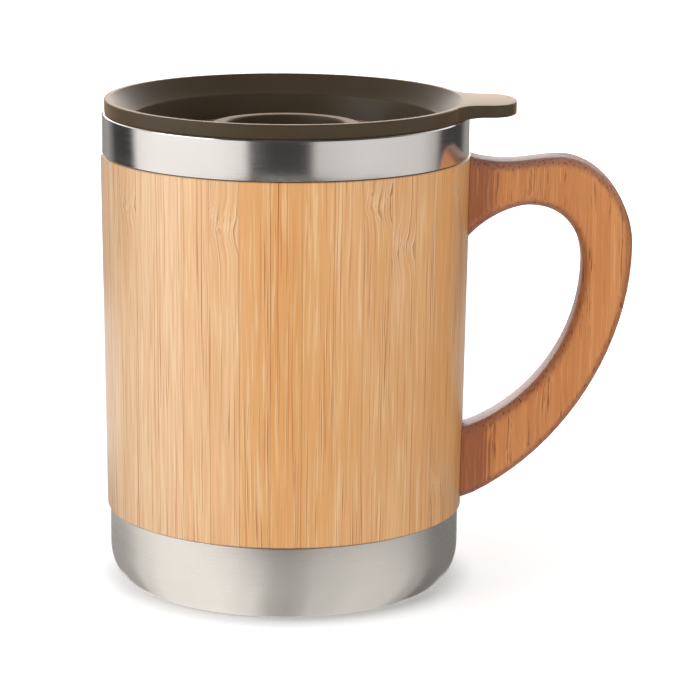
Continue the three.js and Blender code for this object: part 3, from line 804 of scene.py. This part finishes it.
# %% Bend the fibres
WAVE = 0.5  # how far a fibre wanders from a straight line, in millimetres
KNUCKLE_REACH = 8  # half the height that a knuckle disturbs
BEND = 0.9  # how far the fibres bend aside there
CURL = 1.3  # how far single fibres stray from that bend
HIGHLIGHT_SHIFT = 0.17  # from a dark line to its painted highlight
height = add(strip, "SeparateXYZ", {0: spot}, "Z")
height_mm = add(strip, "Math", {0: height, 1: 1 / MM}, operation="MULTIPLY")
above = add(strip, "Math", {0: height_mm, 1: knuckle}, operation="SUBTRACT")
distance = add(strip, "Math", {0: above}, operation="ABSOLUTE")
near = add(strip, "MapRange", {"Value": distance, "From Min": KNUCKLE_REACH, "From Max": 0},
           interpolation_type="SMOOTHSTEP")
curl = strip_noise(upright, wide=2.4, long=5, shift=0, detail=1)
stray = add(strip, "MapRange", {"Value": curl, "To Min": BEND - CURL, "To Max": BEND + CURL})
swerve = add(strip, "Math", {0: stray, 1: near}, operation="MULTIPLY")
wander = strip_noise(upright, wide=6, long=26, shift=9, detail=1)
wave = add(strip, "MapRange", {"Value": wander, "To Min": -WAVE, "To Max": WAVE})
shifted = add(strip, "Math", {0: swerve, 1: wave}, operation="ADD")
bend = add(strip, "Math", {0: shifted, 1: 1 / sleeve_radius}, operation="MULTIPLY")
grain = add(strip, "VectorRotate", {"Vector": upright, "Angle": bend}, rotation_type="Z_AXIS")
# the grain shifted sideways, to where the painted highlight beside a dark line lies
highlight_grain = add(strip, "VectorRotate", {"Vector": grain, "Angle": HIGHLIGHT_SHIFT / sleeve_radius},
             rotation_type="Z_AXIS")

# %% Spread the fan of dashes
FAN_RISE = 4.5  # from the lowest dash of the fan to its highest
FAN_REACH = 3.2
DASH_SLANT = 0.45  # sideways millimetres for each millimetre up, at the strip's edge
fan = add(strip, "Math", {0: above, 1: across}, operation="MULTIPLY")
lean = add(strip, "Math", {0: fan, 1: DASH_SLANT / sleeve_radius}, operation="MULTIPLY")
# slanted paths for the dashes and for their painted highlights
slanted, slanted_highlight_grain = [
    add(strip, "VectorRotate", {"Vector": path, "Angle": lean}, rotation_type="Z_AXIS")
    for path in (grain, highlight_grain)
]
square = add(strip, "Math", {0: across, 1: across}, operation="MULTIPLY")
rise = add(strip, "Math", {0: square, 1: FAN_RISE}, operation="MULTIPLY")
off_fan = add(strip, "Math", {0: above, 1: rise}, operation="SUBTRACT")
off_fan = add(strip, "Math", {0: off_fan}, operation="ABSOLUTE")
on_fan = add(strip, "MapRange", {"Value": off_fan, "From Min": FAN_REACH, "From Max": 0},
             interpolation_type="SMOOTHSTEP")

# %% [markdown]
# Streaks and colours of the strip
#
# Bamboo has broad soft bands, fine fibres, a few dark lines in patches and long orange seams. Each kind is
# one noise with its own width and length in millimetres, of which only the values past a threshold show.
# A dark line has a painted highlight beside it, where the lifted fibre catches the light: it is the same
# noise, turned a little round the axis. The tints are then laid on the straw colour from broad to fine.

# %% Streaks
def streaks(vector, wide, long, shift, shown, mask=1.0, detail=2):
    noise = strip_noise(vector, wide, long, shift, detail)
    seen = add(strip, "MapRange", {"Value": noise, "From Min": shown[0], "From Max": shown[1]},
               interpolation_type="SMOOTHSTEP")
    return add(strip, "Math", {0: seen, 1: mask}, operation="MULTIPLY")


bands = streaks(grain, wide=2.4, long=45, shift=1, shown=(0.38, 0.62))
rosy = streaks(grain, wide=3.4, long=40, shift=7, shown=(0.42, 0.62))
patches = streaks(grain, wide=4.5, long=40, shift=3, shown=(0.4, 0.6))
fibres = streaks(grain, wide=0.42, long=18, shift=2, shown=(0.36, 0.64), detail=3)
pale = streaks(grain, wide=0.6, long=20, shift=10, shown=(0.52, 0.68))
seams = streaks(grain, wide=0.5, long=60, shift=5, shown=(0.59, 0.68))
# dark lines, bends and dashes, each with a painted highlight beside it
lines, lines_highlight = [
    streaks(path, wide=0.34, long=30, shift=4, shown=(0.57, 0.63), mask=patches)
    for path in (grain, highlight_grain)
]
swerving, swerving_ridge_highlight = [
    streaks(path, wide=0.5, long=22, shift=8, shown=(0.52, 0.62), mask=near)
    for path in (grain, highlight_grain)
]
dashes, dashes_ridge_highlight = [
    streaks(path, wide=0.42, long=2.6, shift=6, shown=(0.56, 0.66), mask=on_fan)
    for path in (slanted, slanted_highlight_grain)
]

# %% Glue lines, tones and painted shade at the ends
GLUE_SIDES = (0.95, 0.99)  # the glue line fades in here, across the strip
GAP_SHADE = 0.3  # height of the painted shade in the gaps at the sleeve's two ends
side = add(strip, "Math", {0: across}, operation="ABSOLUTE")
joint = add(strip, "MapRange", {"Value": side, "From Min": GLUE_SIDES[0], "From Max": GLUE_SIDES[1]})
glue = streaks(grain, wide=3, long=30, shift=11, shown=(0.35, 0.6), mask=joint)
ripe = add(strip, "MapRange", {"Value": stave_tone})
# below zero: pale cane, and on the left side a painted sheen of the key light
pale_cane_and_sheen = add(strip, "MapRange", {"Value": stave_tone, "From Max": -1})
foot, top = [
    add(strip, "MapRange", {"Value": height_mm, "From Min": inside, "From Max": end})
    for inside, end in ((sleeve_foot + GAP_SHADE, sleeve_foot), (sleeve_top - GAP_SHADE, sleeve_top))
]
# painted shade in the gaps under the collar and above the base
painted_gap_shade = add(strip, "Math", {0: foot, 1: top}, operation="MAXIMUM")

# %% Colour the strip
FIBRE_RELIEF = 0.05
colour = lay_tints(strip, linear("#EBBD86"), [
    ("#E1AA6E", bands, 0.9),
    ("#E9B282", rosy, 0.5),
    ("#E8A55A", ripe, 0.75),
    # pale cane, and a painted sheen of the key light on the left strips
    ("#F2CFA6", pale_cane_and_sheen, 0.7),
    ("#D6964F", fibres, 0.44),
    ("#F8DCAC", pale, 0.4),
    ("#F3D3A2", on_fan, 0.25),
    # painted highlights beside the dark lines, bends and dashes
    ("#FBE3B8", lines_highlight, 0.45),
    ("#FBE6C0", swerving_ridge_highlight, 0.65),
    ("#FBE6C0", dashes_ridge_highlight, 0.65),
    ("#CC7A34", seams, 0.75),
    ("#B4661F", lines, 0.85),
    ("#B0682A", swerving, 0.75),
    ("#A66226", dashes, 0.8),
    ("#B87434", glue, 0.65),
    # painted shade in the gaps at the sleeve's two ends
    ("#5A3C22", painted_gap_shade, 0.5),
])
raised = add(strip, "Math", {0: swerving_ridge_highlight, 1: dashes_ridge_highlight}, operation="ADD")
sunk = add(strip, "Math", {0: lines, 1: fibres}, operation="ADD")
relief = add(strip, "Math", {0: raised, 1: sunk}, operation="SUBTRACT")
bump = add(strip, "Bump", {"Height": relief, "Strength": 0.05, "Distance": FIBRE_RELIEF * MM})
feed(strip_shader, Base_Color=colour, Normal=bump)
cover(strip_finish, *staves)

# %% [markdown]
# Sawn bamboo of the handle
#
# The handle's board is glued from strips that stand on edge, sanded and oiled, which makes it redder and
# deeper than the sleeve. The strip by the sleeve is the darkest. The board shows all faces of bamboo at
# once: patches of dark fibre lines on its sides, dots of cut fibre bundles on its top, and dashes on its
# rounded edges, where the fibres are cut at a slant. A solid pattern gives the dots and dashes by itself:
# dark bundles stand as slim columns along Z in a honeycomb of cells, and each face shows its own cut
# through them. The columns wander a little, so that no line runs on for ever. A rounded edge opens more
# fibres and drinks more oil, and it carries painted shade where it turns away, so it is darker. Faces
# that look up or down get a greyish painted sheen.

# %% Start the handle's finish
WANDER = 1.2
WANDER_SIZE = (6, 6, 14)
board_finish, board, board_shader = new_finish("oiled_bamboo_board", Roughness=0.42, IOR=1.5)
spot = add(board, "TexCoord", output="Object")
sized = add(board, "Mapping", {"Vector": spot, "Scale": size_in_mm(*WANDER_SIZE)})
wander = add(board, "TexNoise", {"Vector": sized, "Scale": 1, "Detail": 1}, "Color")
wander = add(board, "VectorMath", {0: wander, 1: (0.5, 0.5, 0.5)}, operation="SUBTRACT")
wander = add(board, "VectorMath", {0: wander, 1: (WANDER * MM, WANDER * MM, 0)}, operation="MULTIPLY")
wood = add(board, "VectorMath", {0: spot, 1: wander}, operation="ADD")


def board_noise(sizes, shown, detail=2, shift=0):
    sized = add(board, "Mapping", {"Vector": wood, "Location": (shift, shift, shift),
                                   "Scale": size_in_mm(*sizes)})
    noise = add(board, "TexNoise", {"Vector": sized, "Scale": 1, "Detail": detail})
    return add(board, "MapRange", {"Value": noise, "From Min": shown[0], "From Max": shown[1]},
               interpolation_type="SMOOTHSTEP")


# %% Strips of the board
BOARD_STRIP = 7.0  # width of one glued strip
STRIP_START = 42.2  # from the mug's axis to the first strip's near side
RAGGED = 3.2  # how far the stain of the first strip strays along its fibres
ROOT_END = (1.25, 0.85)  # the stain fades in between these, counted in strips
outwards = add(board, "SeparateXYZ", {0: spot}, "X")
from_start = add(board, "Math", {0: outwards, 1: STRIP_START * MM}, operation="SUBTRACT")
strips = add(board, "Math", {0: from_start, 1: BOARD_STRIP * MM}, operation="DIVIDE")
strip_number = add(board, "Math", {0: strips}, operation="FLOOR")
strip_tone = add(board, "TexWhiteNoise", {"W": strip_number}, noise_dimensions="1D")
ragged = board_noise((0.5, 0.5, 30), (0.3, 0.7), detail=3, shift=5)
stray = add(board, "MapRange", {"Value": ragged, "To Min": -RAGGED / BOARD_STRIP, "To Max": 0})
strayed = add(board, "Math", {0: strips, 1: stray}, operation="SUBTRACT")
root = add(board, "MapRange", {"Value": strayed, "From Min": ROOT_END[0], "From Max": ROOT_END[1]},
           interpolation_type="SMOOTHSTEP")

# %% Bundles and lines of the board
BUNDLE_SIZE = (0.7, 0.7, 12)
BUNDLE_EDGE = (0.34, 0.2)  # as a share of the cell
columns = add(board, "Mapping", {"Vector": wood, "Scale": size_in_mm(*BUNDLE_SIZE)})
cell = add(board, "TexVoronoi", {"Vector": columns, "Scale": 1, "Randomness": 1})
bundles = add(board, "MapRange", {"Value": cell, "From Min": BUNDLE_EDGE[0], "From Max": BUNDLE_EDGE[1]},
              interpolation_type="SMOOTHSTEP")
board_bands = board_noise((1.8, 5, 160), (0.38, 0.62))
board_fibres = board_noise((0.35, 0.35, 40), (0.35, 0.65), detail=3)
pale_lines = board_noise((0.3, 0.5, 18), (0.58, 0.68), shift=8)
dark_lines = board_noise((0.26, 0.5, 9), (0.6, 0.66), shift=3)
dense = board_noise((2.5, 2.5, 30), (0.42, 0.64))
lined = add(board, "Math", {0: dark_lines, 1: dense}, operation="MULTIPLY")

# %% Edges and colours of the board
EDGE_FACING = (0.99, 0.75)  # a face that looks less squarely along Y than this is an edge
END_FACING = (0.15, 0.9)  # the more it looks up or down, the more painted sheen it gets
BUNDLE_RELIEF = 0.05
facing = add(board, "NewGeometry", output="Normal")
axes = [add(board, "SeparateXYZ", {0: facing}, axis) for axis in "YZ"]
sideways, upward = [add(board, "Math", {0: axis}, operation="ABSOLUTE") for axis in axes]
edge = add(board, "MapRange", {"Value": sideways, "From Min": EDGE_FACING[0], "From Max": EDGE_FACING[1]},
           interpolation_type="SMOOTHSTEP")
end_grain_sheen = add(board, "MapRange", {"Value": upward, "From Min": END_FACING[0], "From Max": END_FACING[1]})
speckled = add(board, "Math", {0: bundles, 1: edge}, operation="MULTIPLY")
colour = lay_tints(board, linear("#DC9659"), [
    ("#D08448", board_bands, 0.8),
    ("#CA8048", strip_tone, 0.5),
    ("#BE7842", board_fibres, 0.28),
    ("#EAB27C", pale_lines, 0.3),
    ("#8C4A2C", root, 0.75),
    # rounded edges: darker from oil, and partly painted shade where they turn away
    ("#8E4E2C", edge, 0.55),
    ("#B58A80", end_grain_sheen, 0.5),
    # a greyish painted sheen on faces that look up or down
    ("#DFA478", pale_lines, 0.25),
    ("#6E3A1C", lined, 0.75),
    ("#4E2C1A", speckled, 0.65),
])
bump = add(board, "Bump", {"Height": bundles, "Strength": 0.25, "Distance": BUNDLE_RELIEF * MM},
           invert=True)
feed(board_shader, Base_Color=colour, Normal=bump)
cover(board_finish, handle)

# %% [markdown]
# Stainless steel and zinc
#
# The collar is polished and mirrors the room, the base is satin and blurs it, and the cup is spun and
# duller still, but all three were turned against an abrasive, so their marks run round the axis. The
# distance from the axis plus the height is the same all along such a mark, on a wall, on a floor and on
# the corner between them, so a noise along that one number draws the marks on every face. Real marks are
# finer than a pixel, and these are drawn as coarse as they need to be to show. The zinc of the two hidden
# screws is made the same way.

# %% Steel finishes
MARK_LENGTH = 16  # of one mark along the turning, in millimetres


def turned_metal(name, hex_colour, roughness, spread, mark_width, mark_depth):
    finish, tree, shader = new_finish(name, Metallic=1.0, Base_Color=linear(hex_colour))
    place = add(tree, "TexCoord", output="Object")
    flat = add(tree, "VectorMath", {0: place, 1: (1, 1, 0)}, operation="MULTIPLY")
    reach = add(tree, "VectorMath", {0: flat}, "Value", operation="LENGTH")
    x, y, z = [add(tree, "SeparateXYZ", {0: place}, axis) for axis in "XYZ"]
    along = add(tree, "Math", {0: reach, 1: z}, operation="ADD")
    turned = add(tree, "CombineXYZ", {"X": x, "Y": y, "Z": along})
    scale = size_in_mm(MARK_LENGTH, MARK_LENGTH, mark_width)
    sized = add(tree, "Mapping", {"Vector": turned, "Scale": scale})
    marks = add(tree, "TexNoise", {"Vector": sized, "Scale": 1, "Detail": 3})
    rough = add(tree, "MapRange", {"Value": marks, "From Min": 0.3, "From Max": 0.7,
                                   "To Min": roughness - spread, "To Max": roughness + spread})
    bump = add(tree, "Bump", {"Height": marks, "Strength": 0.3, "Distance": mark_depth * MM})
    feed(shader, Roughness=rough, Normal=bump)
    return finish


polished = turned_metal("polished_stainless_steel", "#EEEBE8", roughness=0.15, spread=0.03,
                        mark_width=0.3, mark_depth=0.003)
satin = turned_metal("satin_stainless_steel", "#E6E2DC", roughness=0.3, spread=0.04,
                     mark_width=0.25, mark_depth=0.002)
spun = turned_metal("spun_stainless_steel", "#CFCDC9", roughness=0.28, spread=0.06,
                    mark_width=0.3, mark_depth=0.01)
zinc = turned_metal("zinc_plated_screw", "#C2BCA8", roughness=0.32, spread=0.05,
                    mark_width=0.3, mark_depth=0.01)
cover(polished, outer_shell)
cover(satin, base_cup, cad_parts["shell_bottom"])
cover(spun, inner_cup)
cover(zinc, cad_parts["handle_screw_upper"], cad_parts["handle_screw_lower"])

# %% [markdown]
# Brown plastic and milky silicone
#
# The lid and its closure are polypropylene, moulded in a tool that was lightly blasted. That leaves a
# satin skin with a fine grain, which shines at a glance along the surface and looks almost black when
# seen straight on. A sheen on the shader gives that glance. The gasket is moulded silicone, which is
# milky because it lets a little light in. Both have an uneven gloss where the moulding cooled.

# %% Plastic and silicone finishes
PLASTIC_CLOUD = 9
RUBBER_CLOUD = 2
SKIN_GRAIN = 0.35
GRAIN_DEPTH = 0.03


def moulded(name, cloud_size, colours, gloss, **constants):
    finish, tree, shader = new_finish(name, **constants)
    place = add(tree, "TexCoord", output="Object")
    sized = add(tree, "Mapping", {"Vector": place, "Scale": size_in_mm(*[cloud_size] * 3)})
    cloud = add(tree, "TexNoise", {"Vector": sized, "Scale": 1, "Detail": 3})
    colour = lay_tints(tree, linear(colours[0]), [(colours[1], cloud, 1.0)])
    rough = add(tree, "MapRange", {"Value": cloud, "To Min": gloss[0], "To Max": gloss[1]})
    fine = add(tree, "Mapping", {"Vector": place, "Scale": size_in_mm(*[SKIN_GRAIN] * 3)})
    grain = add(tree, "TexNoise", {"Vector": fine, "Scale": 1, "Detail": 2})
    bump = add(tree, "Bump", {"Height": grain, "Strength": 0.2, "Distance": GRAIN_DEPTH * MM})
    feed(shader, Base_Color=colour, Roughness=rough, Normal=bump)
    return finish


plastic = moulded("satin_brown_polypropylene", PLASTIC_CLOUD, colours=("#433726", "#4A3E2D"),
                  gloss=(0.36, 0.46), IOR=1.49, Specular_IOR_Level=0.28, Sheen_Weight=0.65,
                  Sheen_Roughness=0.35, Sheen_Tint=linear("#E2B684"))
rubber = moulded("milky_silicone_rubber", RUBBER_CLOUD, colours=("#DAD7D0", "#CFCCC4"),
                 gloss=(0.45, 0.6), IOR=1.43, Subsurface_Weight=0.3, Subsurface_Scale=0.002)
cover(plastic, lid, closure)
cover(rubber, gasket)

# %% [markdown]
# The white table and the room
#
# The mug stands on a white table in a white room. A bright floor could be had from more light, but then
# the mug is too bright as well. Here the table glows a little for the camera, less near the mug, which
# deepens the shade there, and more so far away. Right under the mug's edge the glow fades out, which
# paints a contact shadow. The table is white and still takes the lamps' shadows. The room is white to
# the camera, even to the soft light, and dimmer overhead and behind the camera to a reflection.

# %% White table
TABLE_HALF = 6000
TABLE_GLOW = (0.56, 1.0)  # for the camera, close to the mug and far from it
GLOW_REACH = (50, 320)
CONTACT_SHADE_REACH = (33, 47)  # right under the mug's edge the glow fades out: a painted contact shadow
MIRRORED_GLOW = 0.36  # for reflections
scene = bpy.context.scene
scene.view_settings.view_transform = "Standard"


def kinds_of_ray(tree):
    seen, glossy, clear = [
        add(tree, "LightPath", output=f"Is {kind} Ray") for kind in ("Camera", "Glossy", "Transmission")
    ]
    return seen, add(tree, "Math", {0: glossy, 1: clear}, operation="MAXIMUM")


def white_table():
    finish, tree, shader = new_finish("white_table", Base_Color=(0.8, 0.8, 0.8, 1), Roughness=0.9,
                                      Specular_IOR_Level=0.0, Emission_Color=(1, 1, 1, 1))
    seen, mirrored = kinds_of_ray(tree)
    mirrored = add(tree, "Math", {0: mirrored, 1: MIRRORED_GLOW}, operation="MULTIPLY")
    place = add(tree, "TexCoord", output="Object")
    distance = add(tree, "VectorMath", {0: place}, "Value", operation="LENGTH")
    direct = add(tree, "MapRange", {"Value": distance, "From Min": GLOW_REACH[0] * MM,
                                    "From Max": GLOW_REACH[1] * MM, "To Min": TABLE_GLOW[0],
                                    "To Max": TABLE_GLOW[1]})
    # painted contact shadow: the glow fades out right under the mug's edge
    painted_contact_shade = add(tree, "MapRange", {"Value": distance, "From Min": CONTACT_SHADE_REACH[0] * MM,
                                 "From Max": CONTACT_SHADE_REACH[1] * MM}, interpolation_type="SMOOTHSTEP")
    direct = add(tree, "Math", {0: direct, 1: painted_contact_shade}, operation="MULTIPLY")
    direct = add(tree, "Math", {0: direct, 1: seen}, operation="MULTIPLY")
    glow = add(tree, "Math", {0: direct, 1: mirrored}, operation="MAXIMUM")
    feed(shader, Emission_Strength=glow)
    return finish


table_sheet = bmesh.new()
bmesh.ops.create_grid(table_sheet, x_segments=1, y_segments=1, size=TABLE_HALF)
table = mesh_object("table", table_sheet)
cover(white_table(), table)

# %% White room
SKY = 0.45  # what the soft light gets from the room
CEILING = 0.15  # what a reflection finds overhead, as a share of what it finds at eye level
FRONT = 0.15  # what it finds behind the camera
BACK = 1.5  # and what it finds behind the mug
CEILING_RISE = (0.2, 0.8)  # upward part of a ray, where the ceiling starts and is full
BACK_REACH = (-0.2, 0.6)  # its part away from the camera, for front and back
world = bpy.data.worlds.new("soft_room")
scene.world = world
world.use_nodes = True
room = world.node_tree
direction = add(room, "TexCoord")
ray_back, ray_up = [add(room, "SeparateXYZ", {0: direction}, axis) for axis in "YZ"]
overhead = add(room, "MapRange", {"Value": ray_up, "From Min": CEILING_RISE[0],
                                  "From Max": CEILING_RISE[1], "To Min": 1.0, "To Max": CEILING})
behind = add(room, "MapRange", {"Value": ray_back, "From Min": BACK_REACH[0], "From Max": BACK_REACH[1],
                                "To Min": FRONT, "To Max": BACK})
around = add(room, "Math", {0: overhead, 1: behind}, operation="MULTIPLY")
seen, mirrored = kinds_of_ray(room)
level = add(room, "Mix", {"Factor": mirrored, "A": SKY, "B": around})
level = add(room, "Math", {0: level, 1: seen}, operation="MAXIMUM")
background = room.nodes["Background"]
background.inputs["Color"].default_value = (1, 1, 1, 1)
feed(background, Strength=level)
print("The room gives the soft light", SKY, "and the table reaches", TABLE_HALF, "mm each way")

# %% [markdown]
# Cards and lamps
#
# Polished steel shows little of itself: it shows the room, so photographers stand grey cards round a
# shiny piece to draw its shape. The three cards here are bent round the mug: one close by for its base,
# one for the lacquer of the sleeve and a far one for its collar. Only reflections see them. A card glows
# with a grey that changes from stop to stop, and each stop is placed where the point of the mug at that
# angle reflects it to the camera. A card is a chain of edges that is extruded twice, outwards and up, and
# its vertices take their angle and their grey along. The soft light comes from three boxes: the key at
# the left, a long low fill in front at the right, and a long one behind the mug that skims its top faces.

# %% Cards for the steel
CARD_LIFT = 0.5  # above the table
BASE_GREYS = [(-84, 0.36), (-62, 0.42), (-56, 0.76), (-45, 0.98), (-24, 1.02), (-14, 0.88), (-4, 0.5),
              (1, 0.44), (6, 0.5), (10, 0.64), (24, 0.73), (36, 0.7), (48, 0.44), (56, 0.2), (84, 0.22)]
SLEEVE_GREYS = [(-86, 0.85), (-35, 0.9), (-10, 0.1), (10, 0.1), (30, 0.3), (57, 0.15), (72, 0.4), (86, 0.8)]
COLLAR_GREYS = [(-86, 0.26), (-73, 0.35), (-66, 0.05), (-55, 0.03), (-52, 0.9), (-44, 1.0), (-20, 0.97),
                (-12, 0.84), (-10, 0.12), (-4, 0.05), (6, 0.05), (8, 0.1), (10, 0.62), (25, 0.73),
                (47, 0.66), (54, 0.45), (57, 0.05), (71, 0.05), (77, 0.34), (87, 0.3)]


def heading(angle):
    return Vector((sin(radians(angle)), -cos(radians(angle)), 0))


def card_mesh(radius, greys, near, far, height):
    bm = bmesh.new()
    angles = bm.verts.layers.float.new("angle")
    glows = bm.verts.layers.float.new("glow")

    def set_row(verts, reach, rise):
        for vert in verts:
            place = radius * heading(vert[angles]) + reach * heading(2 * vert[angles])
            vert.co = (place.x, place.y, rise)

    verts = [bm.verts.new() for _ in greys]
    for vert, (angle, grey) in zip(verts, greys):
        vert[angles] = angle
        vert[glows] = grey
    set_row(verts, near, CARD_LIFT)
    edges = [bm.edges.new(pair) for pair in zip(verts[1:], verts)]
    for rise in (CARD_LIFT, height):
        pulled = bmesh.ops.extrude_edge_only(bm, edges=edges)["geom"]
        edges = [part for part in pulled if isinstance(part, bmesh.types.BMEdge)]
        set_row([part for part in pulled if isinstance(part, bmesh.types.BMVert)], far, rise)
    return bm


def card(name, radius, greys, near, far, height):
    made = mesh_object(name, card_mesh(radius, greys, near, far, height))
    made.visible_camera = False
    made.visible_diffuse = False
    made.visible_shadow = False
    finish, tree, shader = new_finish(name, Base_Color=(0, 0, 0, 1), Specular_IOR_Level=0.0,
                                      Emission_Color=linear("#FFFCF9"))
    feed(shader, Emission_Strength=add(tree, "Attribute", output="Fac", attribute_name="glow"))
    cover(finish, made)


card("base_card", base_radius, BASE_GREYS, near=-6, far=110, height=1)
card("sleeve_card", sleeve_radius, SLEEVE_GREYS, near=110, far=340, height=1)
card("collar_card", collar_radius, COLLAR_GREYS, near=342, far=380, height=170)

# %% Soft lamps
LAMP_AIM = Vector((0, 0, 60))


def lamp(name, place, size, power):
    light = bpy.data.lights.new(name, "AREA")
    light.shape = "RECTANGLE"
    light.size, light.size_y = size
    light.energy = power
    made = bpy.data.objects.new(name, light)
    scene.collection.objects.link(made)
    made.location = Vector(place) * MM
    made.rotation_euler = (LAMP_AIM - Vector(place)).to_track_quat("-Z", "Y").to_euler()
    made.visible_camera = False
    print(f"{name} lamp of {power} W")
    return made


lamp("key", place=(-800, -350, 420), size=(0.7, 0.5), power=3.85)
fill = lamp("fill", place=(560, -1300, 260), size=(1.2, 0.5), power=8.1)
fill.visible_glossy = False  # so that it leaves no glare on lacquer and plastic
lamp("back", place=(0, 1100, 230), size=(1.6, 0.45), power=5.5)

# %% [markdown]
# The camera
#
# The camera stands in front of the mug and looks down a little, with a long lens, as product photographs
# are taken. Its place and lens were worked out from the widths of the mug's rings in the picture.

# %% Camera
LENS = 159.1
SENSOR = 36
CAMERA_PLACE = (15.13, -701.3, 214.5)
LOOK_DOWN = 12.919  # degrees below level
ROLL = 0.55
camera_data = bpy.data.cameras.new("camera")
camera_data.sensor_width = SENSOR
camera_data.lens = LENS
camera = bpy.data.objects.new("camera", camera_data)
scene.collection.objects.link(camera)
tilt = Matrix.Rotation(radians(90 - LOOK_DOWN), 4, "X") @ Matrix.Rotation(radians(ROLL), 4, "Z")
camera.matrix_world = Matrix.Translation(Vector(CAMERA_PLACE) * MM) @ tilt
scene.camera = camera
print(f"The camera has a lens of {LENS} mm and looks down by {LOOK_DOWN} degrees")
